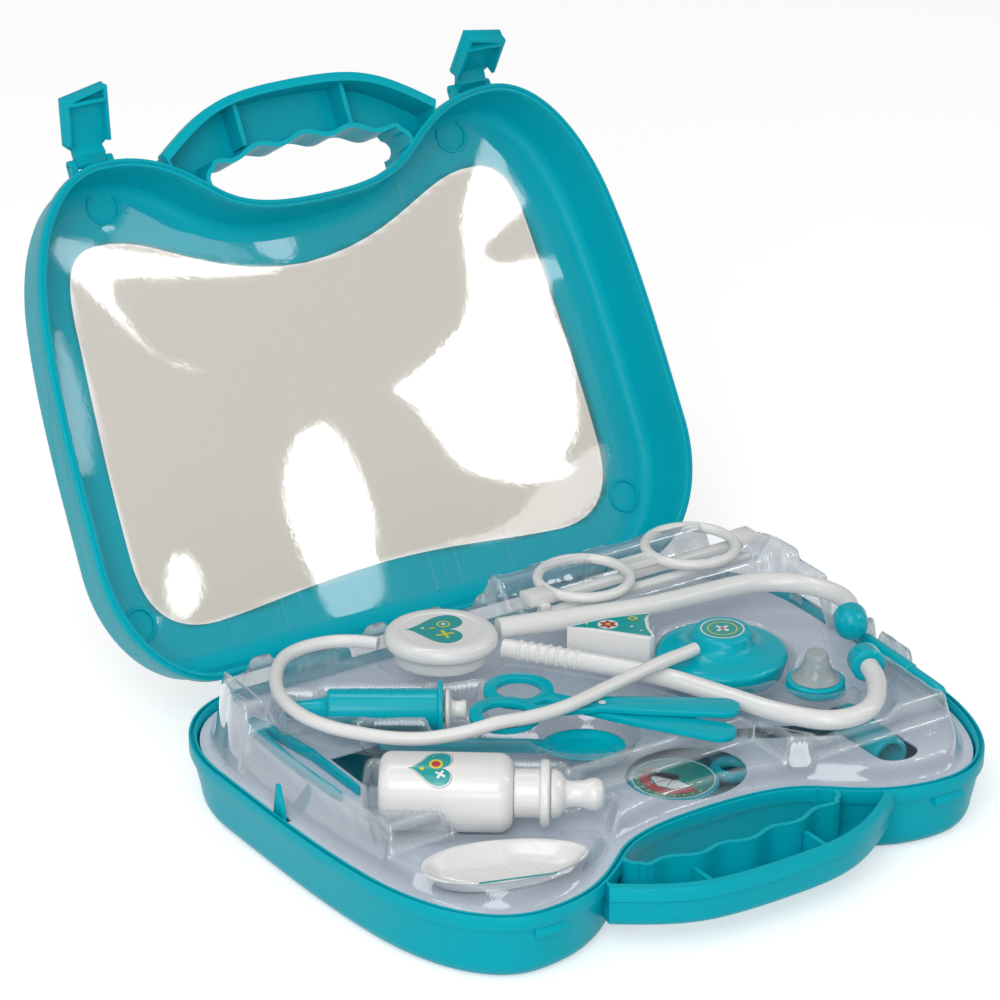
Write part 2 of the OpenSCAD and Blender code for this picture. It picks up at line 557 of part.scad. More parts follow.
// syringe
module syringe_barrel() color(teal) yshift() syr_at() difference() {
  rotate_extrude($fn=48) polygon([[0,-17],[2.4,-17],[3.2,-16],[4.8,-3],[5.6,-0.6],[barrel_r-0.8,0],
      [barrel_r,0.9],[barrel_r,barrel_l-1.6],[11.6,barrel_l-1.3],[11.9,barrel_l-0.9],[11.9,barrel_l+0.3],
      [11.5,barrel_l+0.6],[0,barrel_l+0.6]]);
  translate([0,0,2]) cylinder(r=barrel_r-1.5,h=60,$fn=48);
}
module syringe_marks() color(teal) yshift() syr_at() for(i=[0:10]) rotate([0,0,180-(i%2==0?12:8)])
    rotate_extrude(angle=i%2==0?24:14,$fn=48) translate([barrel_r+0.02,8+i*2.8]) square([0.35,0.6]);
module syringe_plunger() color(white) yshift() syr_at() {
  translate([0,0,5]) cylinder(r=barrel_r-1.5-plunger_gap,h=7,$fn=48);
  translate([-1.4,-5.2,11]) cube([2.8,10.4,barrel_l-8.5]);
  translate([-5.2,-1.4,11]) cube([10.4,2.8,barrel_l-8.5]);
  translate([0,0,barrel_l+1.4]) rotate_extrude($fn=48)
      polygon([[0,0],[8,0],[8.6,0.5],[8.6,1.4],[8,1.9],[4.2,2.6],[3.4,4],[3.6,6.6],[4,7.6],[3.6,8.4],
      [0,8.4]]);
}

// scissors
piv = [-8,-125];
module sc_half(rc,be,z,t,bore) translate([0,0,z]) linear_extrude(t) difference() {
  union() {
    translate(rc) circle(r=sring_r,$fn=40);
    hull() {
      translate(piv) circle(r=4.6,$fn=24);
      translate(rc+(piv-rc)/norm(piv-rc)*(sring_r-2.5)) circle(r=3,$fn=20);
    }
    hull() {
      translate(piv) circle(r=4.6,$fn=24);
      translate(piv+(be-piv)*0.3) circle(r=blade_w-0.6,$fn=24);
    }
    hull() {
      translate(piv+(be-piv)*0.3) circle(r=blade_w-0.6,$fn=24);
      translate(be) circle(r=blade_w,$fn=32);
    }
  }
  translate(rc) circle(r=sring_r-5,$fn=40);
  translate(piv) circle(r=bore,$fn=32);
}
module scissor_half_a() color(teal) yshift() sc_half([-26,-93],[20,-165],46.7,2.5,1.6+pin_gap);
module scissor_half_b() color(teal) yshift() sc_half([-45,-112],[30,-153.5],49.5,2.5,1.6+pin_gap);
module scissor_pin() color(white) yshift() translate([piv[0],piv[1],46.7]) cylinder(r=1.6,h=5.3,$fn=32);
module spoon() color(teal) yshift() difference() {
  union() {
    translate([-22,-133,37.3]) rotate(-33) scale([1,0.8,1]) rotate_extrude($fn=48)
        polygon([[0,0],[11,0],[16,2.6],[16.4,3.3],[15.8,3.6],[0,3.6]]);
    translate([0,0,38]) linear_extrude(2.4) hull() {
      translate([-36,-122.5]) circle(r=4,$fn=20);
      translate([-85,-88.5]) circle(r=3.4,$fn=20);
    }
  }
  translate([-22,-133,38.6]) rotate(-33) scale([1,0.8,1]) cylinder(r1=10.5,r2=15,h=2.6,$fn=48);
}

// bottle
function rsq(r,s,n=40) = [for(i=[0:n-1])
    let(a=-i*360/n, c=cos(a), q=sin(a), k=pow(pow(abs(c),2.5)+pow(abs(q),2.5),-0.4)) [r*k*c*s, r*k*q*s]];
module bottle_body() color(white) yshift() bot_at()
    loft([[0,rsq(bottle_r,0.62)],[0.9,rsq(bottle_r,0.82)],[2.6,rsq(bottle_r,0.95)],[4.6,rsq(bottle_r,1)],
    [bottle_l-6,rsq(bottle_r,1)],[bottle_l-3.4,rsq(bottle_r,0.95)],[bottle_l-1.2,rsq(bottle_r,0.84)],
    [bottle_l,rsq(bottle_r,0.66)]]);
module bottle_collar() color(white) yshift() bot_at() translate([0,0,bottle_l+0.1]) rotate_extrude($fn=48)
    polygon([[0,0],[9,0],[9.4,0.6],[9.4,9.2],[9.8,9.8],[12.4,10],[13,10.7],[13,12.8],[12.4,13.5],[10,13.8],
    [0,13.8]]);
module bottle_nozzle() color(white) yshift() bot_at() translate([0,0,bottle_l+14]) rotate_extrude($fn=48)
    polygon([[0,0],[9.6,0],[9.4,2],[8.2,4],[6.6,5.2],[5.4,6],[5,8],[5.2,12],[6.2,15],[6.4,17.4],[5.2,19.6],
    [3,20.6],[0,20.8]]);
module bottle_sticker() color([0.0,0.6,0.58]) yshift() bot_at() intersection() {
  translate([0,0,6]) linear_extrude(32) difference() {
    polygon(rsq(bottle_r+0.25,1));
    polygon(rsq(bottle_r+0.02,1));
  }
  rotate([0,0,22]) translate([-30,0,21]) rotate([0,90,0]) linear_extrude(29) heart2d(9.5);
}

// lower tools
dish_c=[-92,-184];
function oval(a,b,n=40) = [for(i=[0:n-1]) let(t=-i*360/n) [a*cos(t), b*sin(t)*(1-0.12*cos(t))]];
module dish() color(white) yshift() translate([dish_c[0],dish_c[1],27.3]) rotate(-18) difference() {
  loft([[0,oval(24,9)],[1.5,oval(27,11.5)],[6.2,oval(31,14.5)],[7.6,oval(32,15.4)]]);
  translate([0,0,0.02]) loft([[1.4,oval(22,7.5)],[3,oval(26,10.6)],[7.6,oval(30,13.6)],
      [8.6,oval(30.4,13.9)]]);
}
module dish_label() color([0.0,0.6,0.5]) yshift() translate([dish_c[0],dish_c[1],27.3+1.6]) rotate(-18)
    translate([0,0,7.2-1.18]) linear_extrude(0.2) polygon([[-14,-14.4],[16,-14.2],[16,-15.1],[-14,-15.4]]);
gc=[7,-153];
module gauge_body() color(teal) yshift() translate([gc[0],gc[1],17]) rotate_extrude($fn=48)
    polygon([[0,0],[gauge_r-2,0],[gauge_r-0.4,1.4],[gauge_r,3],[gauge_r,8.6],[gauge_r-0.6,9.2],[0,9.2]]);
module gauge_face() color([0.0,0.55,0.5]) yshift() translate([gc[0],gc[1],26.21])
    cylinder(r=gauge_r-1.4,h=0.2,$fn=60);
module gauge_arc() color([0.7,0.12,0.1]) yshift() translate([gc[0],gc[1],26.42]) linear_extrude(0.15)
    difference() {
  circle(r=gauge_r*0.74,$fn=60);
  circle(r=gauge_r*0.5,$fn=48);
  polygon([[0,0],[5,-30],[40,-30],[40,40],[-5,30]]);
}
module gauge_needle() color([0.1,0.1,0.12]) yshift() translate([gc[0],gc[1],26.7]) linear_extrude(0.5)
    scale(gauge_r/13) polygon([[-1.2,-1.2],[0,-1.7],[1.2,-1.2],[1.4,0.6],[-6,8.6],[-6.6,8],[-1.4,0]]);
module gauge_loop() color(teal) yshift() translate([35.5,-153.5,22.1]) rotate_extrude(angle=300,$fn=40)
    translate([7,0]) circle(r=2.4,$fn=16);
module hammer_head() color(teal) yshift() translate([96,-147,24]) rotate([0,0,-96.5]) rotate([0,90,0])
    rotate_extrude($fn=48) polygon([[0,0],[7.4,0],[8,0.6],[8,34.4],[7.4,35],[5.6,35],[5.6,24],[0,24]]);
module hammer_handle() color(teal) yshift() difference() {
  sweep([[86.4,-162.2,21.6],[78,-157,21.6],[68,-151,21.6],[58,-144,21.6],[45,-133,21.6],[34,-124,21.6]],
      [3.4,3.4,3.4,3.4,3.6,3.6],12);
  translate([96,-147,24]) rotate([0,0,-96.5]) rotate([0,90,0]) translate([0,0,4])
      cylinder(r=8.05,h=28,$fn=48);
}
module pen_stick() color(teal) yshift()
    sweep([[129.4,-110,39.6],[128.8,-118,39.6],[128.7,-118.2,39.6],[126.6,-150,39.6],[126.5,-150.4,39.6],
    [125,-171,39.6],[124.9,-173,39.6]],[2.4,2.5,3.2,3.2,2.6,2.5,1.6],12);
module tweezers() color(teal) yshift() translate([0,0,27.3]) linear_extrude(4)
    polygon([[-112,-27],[-109,-27],[-106.6,-34],[-103,-64],[-103.6,-100],[-105,-100],[-105.4,-66],
    [-109.4,-37],[-111.2,-37],[-113.4,-66],[-112,-100],[-113.4,-100],[-116,-64],[-114.2,-34]]);

base_shell();
base_floor();
base_ribs();
base_handle();
hinge_pin_left();
hinge_pin_right();
insert_card();
tray_film();
lid_shell();
lid_face();
lid_handle();
window_film();
latch_pin_left();
latch_pin_right();
latch_left();
latch_right();
hub_lower();
hub_upper();
hub_sticker();
arm_rear();
arm_front();
ear_tip_rear();
ear_tip_front();
steth_tube();
chest_piece();
chest_sticker();
oto_disc();
oto_cone();
badge_block();
badge_sticker();
badge_motif();
badge_dot();
glasses_rims();
temple_left();
temple_right();
syringe_barrel();
syringe_marks();
syringe_plunger();
scissor_half_a();
scissor_half_b();
scissor_pin();
spoon();
bottle_body();
bottle_collar();
bottle_nozzle();
bottle_sticker();
dish();
dish_label();
gauge_body();
gauge_face();
gauge_arc();
gauge_needle();
gauge_loop();
hammer_head();
hammer_handle();
pen_stick();
tweezers();
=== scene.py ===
# Toy doctor case, standing open on its base half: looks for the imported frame.
# Lengths in the dictionaries are millimetres, with y = 0 at the case's rear rim and z = 0 on the floor.
import json
import math

import bpy
import bmesh
import numpy as np
from mathutils import Vector, Matrix, noise

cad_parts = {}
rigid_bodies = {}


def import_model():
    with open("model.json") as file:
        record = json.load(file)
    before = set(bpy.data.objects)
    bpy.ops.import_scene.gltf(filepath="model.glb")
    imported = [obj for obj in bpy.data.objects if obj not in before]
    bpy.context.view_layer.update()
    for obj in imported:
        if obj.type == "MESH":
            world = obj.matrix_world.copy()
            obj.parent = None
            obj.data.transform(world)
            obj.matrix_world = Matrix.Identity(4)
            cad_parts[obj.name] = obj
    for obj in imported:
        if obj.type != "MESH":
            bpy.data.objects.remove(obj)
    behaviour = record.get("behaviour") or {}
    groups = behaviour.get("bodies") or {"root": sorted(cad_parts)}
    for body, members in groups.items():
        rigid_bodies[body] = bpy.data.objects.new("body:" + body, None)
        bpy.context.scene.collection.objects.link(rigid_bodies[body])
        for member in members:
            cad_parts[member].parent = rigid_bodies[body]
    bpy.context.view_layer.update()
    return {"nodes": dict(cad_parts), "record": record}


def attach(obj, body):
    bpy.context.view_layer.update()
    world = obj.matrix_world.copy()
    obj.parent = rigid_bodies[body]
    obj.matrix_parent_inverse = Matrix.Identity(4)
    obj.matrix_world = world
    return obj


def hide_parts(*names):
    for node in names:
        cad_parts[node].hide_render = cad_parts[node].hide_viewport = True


for old in list(bpy.data.objects):
    bpy.data.objects.remove(old)
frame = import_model()
scene = bpy.context.scene
print("frame loaded:", len(frame["nodes"]), "nodes")

rearShift = 109.0  # the frame's origin lies in the middle of the base
hingeLine = (3.5, 30.0)  # y and z of the lid's hinge
lidTurn = math.radians(-120)


def place(p):
    return Vector((p[0] / 1000, (p[1] + rearShift) / 1000, p[2] / 1000))


def openLid(p):  # from the shut lid to the open one
    y, z = p[1] - hingeLine[0], p[2] - hingeLine[1]
    c, s = math.cos(lidTurn), math.sin(lidTurn)
    return (p[0], hingeLine[0] + y * c - z * s, hingeLine[1] + y * s + z * c)


# ---------- camera --------------------
view = {"at": (-783.2, -1235.7, 742.9), "look": (90.0, 98.0, 31.0), "roll": 0.15, "lens": 139.6}


def makeCamera(v):
    data = bpy.data.cameras.new("photoCamera")
    cam = bpy.data.objects.new("photoCamera", data)
    scene.collection.objects.link(cam)
    at, look = place(v["at"]), place(v["look"])
    turn = (look - at).to_track_quat("-Z", "Y").to_matrix() @ Matrix.Rotation(math.radians(v["roll"]), 3, "Z")
    cam.location = at
    cam.rotation_euler = turn.to_euler()
    data.lens, data.sensor_width = v["lens"], 36.0
    data.clip_start, data.clip_end = 0.05, 30
    scene.camera = cam
    return cam


camera = makeCamera(view)
print("camera placed")

# ---------- shader groups ----------


def newGroup(name, sockets):
    tree = bpy.data.node_groups.new(name, "ShaderNodeTree")
    for label, side, kind, value in sockets:
        s = tree.interface.new_socket(name=label, in_out=side, socket_type=kind)
        if value is not None:
            s.default_value = value
    return tree, tree.nodes.new("NodeGroupInput"), tree.nodes.new("NodeGroupOutput")


def node(tree, kind, **settings):
    n = tree.nodes.new(kind)
    for k, v in settings.items():
        if k.startswith("in_"):
            n.inputs[k[3:].replace("_", " ")].default_value = v
        else:
            setattr(n, k, v)
    return n


def mouldedGroup():  # slow colour drift, fine orange-peel bump and gloss changes of injection moulding
    t, gi, go = newGroup("mouldedSurface", [
        ("Color", "INPUT", "NodeSocketColor", (0.5, 0.5, 0.5, 1)), ("Drift", "INPUT", "NodeSocketFloat", 0.05),
        ("Roughness", "INPUT", "NodeSocketFloat", 0.3), ("Uneven", "INPUT", "NodeSocketFloat", 0.08),
        ("Peel", "INPUT", "NodeSocketFloat", 0.1), ("Color", "OUTPUT", "NodeSocketColor", None),
        ("Roughness", "OUTPUT", "NodeSocketFloat", None), ("Normal", "OUTPUT", "NodeSocketVector", None)])
    link = t.links.new
    at = node(t, "ShaderNodeTexCoord")
    flow = node(t, "ShaderNodeTexNoise", in_Scale=14.0, in_Detail=3.0)
    link(at.outputs["Object"], flow.inputs["Vector"])
    low = node(t, "ShaderNodeMath", operation="SUBTRACT")
    low.inputs[1].default_value = 0.5
    link(flow.outputs["Fac"], low.inputs[0])
    amount = node(t, "ShaderNodeMath", operation="MULTIPLY_ADD")
    amount.inputs[2].default_value = 1.0
    link(low.outputs[0], amount.inputs[0])
    link(gi.outputs["Drift"], amount.inputs[1])
    hue = node(t, "ShaderNodeHueSaturation")
    link(gi.outputs["Color"], hue.inputs["Color"])
    link(amount.outputs[0], hue.inputs["Value"])
    link(hue.outputs["Color"], go.inputs["Color"])
    smear = node(t, "ShaderNodeTexNoise", in_Scale=55.0, in_Detail=4.0, in_Roughness=0.6)
    link(at.outputs["Object"], smear.inputs["Vector"])
    s2 = node(t, "ShaderNodeMath", operation="SUBTRACT")
    s2.inputs[1].default_value = 0.5
    link(smear.outputs["Fac"], s2.inputs[0])
    s3 = node(t, "ShaderNodeMath", operation="MULTIPLY_ADD")
    link(s2.outputs[0], s3.inputs[0])
    link(gi.outputs["Uneven"], s3.inputs[1])
    link(gi.outputs["Roughness"], s3.inputs[2])
    link(s3.outputs[0], go.inputs["Roughness"])
    peel = node(t, "ShaderNodeTexNoise", in_Scale=420.0, in_Detail=2.0)
    link(at.outputs["Object"], peel.inputs["Vector"])
    sink = node(t, "ShaderNodeTexNoise", in_Scale=28.0, in_Detail=1.0)
    link(at.outputs["Object"], sink.inputs["Vector"])
    both = node(t, "ShaderNodeMath", operation="MULTIPLY_ADD")
    both.inputs[1].default_value = 6.0
    link(sink.outputs["Fac"], both.inputs[0])
    link(peel.outputs["Fac"], both.inputs[2])
    bump = node(t, "ShaderNodeBump", in_Distance=0.0001)
    link(both.outputs[0], bump.inputs["Height"])
    link(gi.outputs["Peel"], bump.inputs["Strength"])
    link(bump.outputs["Normal"], go.inputs["Normal"])
    return t


def scuffGroup():  # fine hair scratches and dust, as a mask
    t, gi, go = newGroup("scuffMask", [
        ("Density", "INPUT", "NodeSocketFloat", 0.5), ("Mask", "OUTPUT", "NodeSocketFloat", None)])
    link = t.links.new
    at = node(t, "ShaderNodeTexCoord")
    parts = []
    for turn, scale in ((0.5, (900, 14, 14)), (1.9, (700, 12, 12))):
        m = node(t, "ShaderNodeMapping")
        m.inputs["Rotation"].default_value = (0.3, turn, turn)
        m.inputs["Scale"].default_value = scale
        link(at.outputs["Object"], m.inputs["Vector"])
        n = node(t, "ShaderNodeTexNoise", in_Scale=1.0, in_Detail=1.0)
        link(m.outputs[0], n.inputs["Vector"])
        parts.append(n)
    top = node(t, "ShaderNodeMath", operation="MAXIMUM")
    link(parts[0].outputs["Fac"], top.inputs[0])
    link(parts[1].outputs["Fac"], top.inputs[1])
    ramp = node(t, "ShaderNodeMapRange", in_From_Min=0.68, in_From_Max=0.82)
    link(top.outputs[0], ramp.inputs["Value"])
    out = node(t, "ShaderNodeMath", operation="MULTIPLY")
    link(ramp.outputs["Result"], out.inputs[0])
    link(gi.outputs["Density"], out.inputs[1])
    link(out.outputs[0], go.inputs["Mask"])
    return t


moulded, scuffs = mouldedGroup(), scuffGroup()

# ---------- materials ----------
plastics = {  # colour, roughness, peel, drift, shine
    "tealShell": ((0.0, 0.435, 0.535), 0.34, 0.25, 0.05, 0.1),
    "tealTool": ((0.0, 0.45, 0.55), 0.16, 0.18, 0.04, 0.2),
    "tealDeep": ((0.0, 0.38, 0.45), 0.4, 0.25, 0.05, 0.2),
    "whiteTool": ((0.84, 0.835, 0.82), 0.2, 0.2, 0.02, 0.5),
    "whiteSoft": ((0.84, 0.835, 0.82), 0.34, 0.25, 0.02, 0.5),
    "needleBlack": ((0.02, 0.02, 0.024), 0.45, 0.2, 0.1, 0.5),
}
inks = {  # colour of the printed labels
    "inkGreen": (0.0, 0.27, 0.22),
    "inkTeal": (0.0, 0.36, 0.35),
    "inkRed": (0.5, 0.02, 0.015),
    "inkYellow": (0.72, 0.66, 0.03),
    "inkWhite": (0.86, 0.87, 0.85),
    "inkDark": (0.05, 0.09, 0.09),
}
films = {  # what one layer lets through, the same where its smoky attribute is 1, haze, roughness, gloss at both
    "trayFilm": ((0.99, 0.995, 1.0), (0.72, 0.74, 0.76), 0.005, 0.04, 0.7, 2.2),
    "windowFilm": ((0.97, 0.99, 0.99), (0.63, 0.6, 0.54), 0.005, 0.03, 0.75, 1.8),
}
materials = {}


def startMaterial(name):
    m = bpy.data.materials.new(name)
    m.use_nodes = True
    t = m.node_tree
    t.nodes.clear()
    out = t.nodes.new("ShaderNodeOutputMaterial")
    materials[name] = m
    return m, t, out


def makePlastic(name, colour, rough, peel, drift, shine):
    m, t, out = startMaterial(name)
    link = t.links.new
    g = node(t, "ShaderNodeGroup", node_tree=moulded)
    g.inputs["Color"].default_value = (*colour, 1)
    g.inputs["Roughness"].default_value = rough
    g.inputs["Peel"].default_value = peel
    g.inputs["Drift"].default_value = drift
    b = node(t, "ShaderNodeBsdfPrincipled")
    b.inputs["IOR"].default_value = 1.49
    b.inputs["Specular IOR Level"].default_value = shine
    marks = node(t, "ShaderNodeGroup", node_tree=scuffs)
    marks.inputs["Density"].default_value = 0.18
    add = node(t, "ShaderNodeMath", operation="ADD")
    link(g.outputs["Roughness"], add.inputs[0])
    link(marks.outputs["Mask"], add.inputs[1])
    link(g.outputs["Color"], b.inputs["Base Color"])
    link(add.outputs[0], b.inputs["Roughness"])
    link(g.outputs["Normal"], b.inputs["Normal"])
    link(b.outputs[0], out.inputs["Surface"])


def makeInk(name, colour):
    m, t, out = startMaterial(name)
    link = t.links.new
    g = node(t, "ShaderNodeGroup", node_tree=moulded)
    g.inputs["Color"].default_value = (*colour, 1)
    g.inputs["Roughness"].default_value = 0.25
    g.inputs["Uneven"].default_value = 0.15
    g.inputs["Peel"].default_value = 0.35
    g.inputs["Drift"].default_value = 0.12
    b = node(t, "ShaderNodeBsdfPrincipled")
    b.inputs["Coat Weight"].default_value = 0.3
    link(g.outputs["Color"], b.inputs["Base Color"])
    link(g.outputs["Roughness"], b.inputs["Roughness"])
    link(g.outputs["Normal"], b.inputs["Normal"])
    link(b.outputs[0], out.inputs["Surface"])


def makeFilm(name, tint, smoky, haze, rough, gloss, wallGloss):  # one thin clear layer: mostly see-through, with a sheen
    m, t, out = startMaterial(name)
    link = t.links.new
    see = node(t, "ShaderNodeBsdfTransparent")
    # smoky: painted shade on the tray film, where its steep walls turn grey; on the window film it tints the opening
    # grey
    where = node(t, "ShaderNodeAttribute", attribute_name="smoky")
    shade = node(t, "ShaderNodeMix", data_type="RGBA")
    shade.inputs[6].default_value = (*tint, 1)
    shade.inputs[7].default_value = (*smoky, 1)
    link(where.outputs["Fac"], shade.inputs[0])
    link(shade.outputs[2], see.inputs["Color"])
    milk = node(t, "ShaderNodeBsdfPrincipled")
    milk.inputs["Base Color"].default_value = (0.8, 0.86, 0.9, 1)
    milk.inputs["Roughness"].default_value = 0.5
    shine = node(t, "ShaderNodeBsdfPrincipled")
    shine.inputs["Base Color"].default_value = (0.97, 0.98, 1.0, 1)
    shine.inputs["Metallic"].default_value = 1.0
    g = node(t, "ShaderNodeGroup", node_tree=moulded)
    g.inputs["Roughness"].default_value = rough
    g.inputs["Uneven"].default_value = 0.03
    g.inputs["Peel"].default_value = 0.05
    link(g.outputs["Roughness"], shine.inputs["Roughness"])
    link(g.outputs["Normal"], shine.inputs["Normal"])
    marks = node(t, "ShaderNodeGroup", node_tree=scuffs)
    marks.inputs["Density"].default_value = 0.12
    hz = node(t, "ShaderNodeMath", operation="ADD")
    hz.inputs[1].default_value = haze
    link(marks.outputs["Mask"], hz.inputs[0])
    # painted highlight: whitish lines along the sheet's sharp bends, read from the creaseGlint attribute and mixed in
    # with the haze and scuffs
    paintedGlint = node(t, "ShaderNodeAttribute", attribute_name="creaseGlint")
    hazeAndGlint = node(t, "ShaderNodeMath", operation="MULTIPLY_ADD")
    hazeAndGlint.inputs[1].default_value = 0.3
    link(paintedGlint.outputs["Fac"], hazeAndGlint.inputs[0])
    link(hz.outputs[0], hazeAndGlint.inputs[2])
    base = node(t, "ShaderNodeMixShader")
    link(hazeAndGlint.outputs[0], base.inputs["Fac"])
    link(see.outputs[0], base.inputs[1])
    link(milk.outputs[0], base.inputs[2])
    geometry = node(t, "ShaderNodeNewGeometry")
    ior = node(t, "ShaderNodeMapRange")  # a thin sheet mirrors the same from both sides
    ior.inputs["To Min"].default_value = 1.5
    ior.inputs["To Max"].default_value = 1 / 1.5
    link(geometry.outputs["Backfacing"], ior.inputs["Value"])
    edge = node(t, "ShaderNodeFresnel")
    link(ior.outputs["Result"], edge.inputs["IOR"])
    strength = node(t, "ShaderNodeMapRange")
    strength.inputs["To Min"].default_value = gloss
    strength.inputs["To Max"].default_value = wallGloss
    link(where.outputs["Fac"], strength.inputs["Value"])
    twice = node(t, "ShaderNodeMath", operation="MULTIPLY", use_clamp=True)
    link(strength.outputs["Result"], twice.inputs[1])
    link(edge.outputs[0], twice.inputs[0])
    full = node(t, "ShaderNodeMixShader")
    link(twice.outputs[0], full.inputs["Fac"])
    link(base.outputs[0], full.inputs[1])
    link(shine.outputs[0], full.inputs[2])
    link(full.outputs[0], out.inputs["Surface"])


def makeSmoke():  # translucent grey cone
    m, t, out = startMaterial("smokeClear")
    link = t.links.new
    g = node(t, "ShaderNodeGroup", node_tree=moulded)
    g.inputs["Color"].default_value = (0.5, 0.56, 0.58, 1)
    g.inputs["Roughness"].default_value = 0.12
    b = node(t, "ShaderNodeBsdfPrincipled")
    b.inputs["IOR"].default_value = 1.49
    link(g.outputs["Color"], b.inputs["Base Color"])
    link(g.outputs["Roughness"], b.inputs["Roughness"])
    see = node(t, "ShaderNodeBsdfTransparent")
    see.inputs["Color"].default_value = (0.86, 0.9, 0.9, 1)
    mix = node(t, "ShaderNodeMixShader")
    mix.inputs["Fac"].default_value = 0.62
    link(see.outputs[0], mix.inputs[1])
    link(b.outputs[0], mix.inputs[2])
    link(mix.outputs[0], out.inputs["Surface"])


def makeCard():
    m, t, out = startMaterial("coatedCard")
    link = t.links.new
    at = node(t, "ShaderNodeTexCoord")
    fibre = node(t, "ShaderNodeTexNoise", in_Scale=900.0, in_Detail=4.0)
    cloud = node(t, "ShaderNodeTexNoise", in_Scale=12.0, in_Detail=2.0)
    link(at.outputs["Object"], fibre.inputs["Vector"])
    link(at.outputs["Object"], cloud.inputs["Vector"])
    ramp = node(t, "ShaderNodeMix", data_type="RGBA")
    ramp.inputs[6].default_value = (0.78, 0.85, 0.96, 1)
    ramp.inputs[7].default_value = (0.84, 0.89, 0.98, 1)
    link(cloud.outputs["Fac"], ramp.inputs[0])
    bump = node(t, "ShaderNodeBump", in_Distance=0.00004, in_Strength=0.3)
    link(fibre.outputs["Fac"], bump.inputs["Height"])
    b = node(t, "ShaderNodeBsdfPrincipled")
    b.inputs["Roughness"].default_value = 0.5
    link(ramp.outputs[2], b.inputs["Base Color"])
    link(bump.outputs[0], b.inputs["Normal"])
    through = node(t, "ShaderNodeBsdfTranslucent")  # board lets some light into the case
    link(ramp.outputs[2], through.inputs["Color"])
    mix = node(t, "ShaderNodeMixShader")
    mix.inputs["Fac"].default_value = 0.22
    link(b.outputs[0], mix.inputs[1])
    link(through.outputs[0], mix.inputs[2])
    link(mix.outputs[0], out.inputs["Surface"])


for key, v in plastics.items():
    makePlastic(key, *v)
for key, v in inks.items():
    makeInk(key, v)
for key, v in films.items():
    makeFilm(key, *v)
makeSmoke()
makeCard()
print("materials made:", len(materials))

# ---------- floor, world and lamps ----------
studio = {"world": 0.44, "fillPower": 9.5, "fillSize": 0.9, "fillAt": (-820, -1100, 900), "keyPower": 6.0, "keySize": 1.3, "keyAt": (-900, -500, 1700), "floorColour": (0.84, 0.84, 0.84), "floorGlow": 0.5}


def cameraLike(t):  # one where the camera or a mirror looks straight at it
    path = node(t, "ShaderNodeLightPath")
    a = node(t, "ShaderNodeMath", operation="ADD")
    b = node(t, "ShaderNodeMath", operation="ADD", use_clamp=True)
    t.links.new(path.outputs["Is Camera Ray"], a.inputs[0])
    t.links.new(path.outputs["Is Glossy Ray"], a.inputs[1])
    t.links.new(a.outputs[0], b.inputs[0])
    t.links.new(path.outputs["Is Transmission Ray"], b.inputs[1])
    return b


def makeStudio(s):
    world = bpy.data.worlds.new("whiteRoom")
    scene.world = world
    world.use_nodes = True
    t = world.node_tree
    t.nodes.clear()
    dim = node(t, "ShaderNodeBackground", in_Strength=s["world"])
    clear = node(t, "ShaderNodeBackground", in_Strength=1.0)
    for n in (dim, clear):
        n.inputs["Color"].default_value = (1, 1, 1, 1)
    path = node(t, "ShaderNodeLightPath")
    mix = node(t, "ShaderNodeMixShader")
    out = node(t, "ShaderNodeOutputWorld")
    t.links.new(path.outputs["Is Camera Ray"], mix.inputs["Fac"])
    t.links.new(dim.outputs[0], mix.inputs[1])
    t.links.new(clear.outputs[0], mix.inputs[2])
    t.links.new(mix.outputs[0], out.inputs["Surface"])

    m, t, out = startMaterial("paleFloor")
    grain = node(t, "ShaderNodeTexNoise", in_Scale=3.0)
    at = node(t, "ShaderNodeTexCoord")
    t.links.new(at.outputs["Object"], grain.inputs["Vector"])
    tone = node(t, "ShaderNodeMix", data_type="RGBA")
    tone.inputs[6].default_value = (*s["floorColour"], 1)
    tone.inputs[7].default_value = (*[c * 1.01 for c in s["floorColour"]], 1)
    t.links.new(grain.outputs["Fac"], tone.inputs[0])
    matt = node(t, "ShaderNodeBsdfDiffuse")
    t.links.new(tone.outputs[2], matt.inputs["Color"])
    glow = node(t, "ShaderNodeEmission")
    amount = node(t, "ShaderNodeMath", operation="MULTIPLY")
    amount.inputs[1].default_value = s["floorGlow"]
    t.links.new(cameraLike(t).outputs[0], amount.inputs[0])
    t.links.new(amount.outputs[0], glow.inputs["Strength"])
    add = node(t, "ShaderNodeAddShader")
    t.links.new(matt.outputs[0], add.inputs[0])
    t.links.new(glow.outputs[0], add.inputs[1])
    t.links.new(add.outputs[0], out.inputs["Surface"])
    mesh = bpy.data.meshes.new("floor")
    mesh.from_pydata([(-12, -12, 0), (12, -12, 0), (12, 12, 0), (-12, 12, 0)], [], [(0, 1, 2, 3)])
    mesh.materials.append(m)
    floor = bpy.data.objects.new("floor", mesh)
    scene.collection.objects.link(floor)
    floor.location.z = -0.0002

    for kind in ("key", "fill"):
        light = bpy.data.lights.new(kind + "Lamp", "AREA")
        light.energy, light.size, light.shape = s[kind + "Power"], s[kind + "Size"], "DISK"
        lamp = bpy.data.objects.new(kind + "Lamp", light)
        scene.collection.objects.link(lamp)
        lamp.location = place(s[kind + "At"])
        lamp.rotation_euler = (Vector((0, 0.05, 0.05)) - lamp.location).to_track_quat("-Z", "Y").to_euler()


makeStudio(studio)
scene.view_settings.view_transform = "Standard"
print("studio lit")

# ---------- helpers for pieces ----------
bodyOf = {n: b for b, group in frame["record"]["behaviour"]["bodies"].items() for n in group}


def newPiece(name, mesh):
    ob = bpy.data.objects.new(name, mesh)
    scene.collection.objects.link(ob)
    return ob


def bakeMesh(ob):  # modifiers into a plain mesh
    bpy.context.view_layer.update()
    done = bpy.data.meshes.new_from_object(ob.evaluated_get(bpy.context.evaluated_depsgraph_get()))
    old = ob.data
    ob.modifiers.clear()
    ob.data = done
    bpy.data.meshes.remove(old)
    return ob


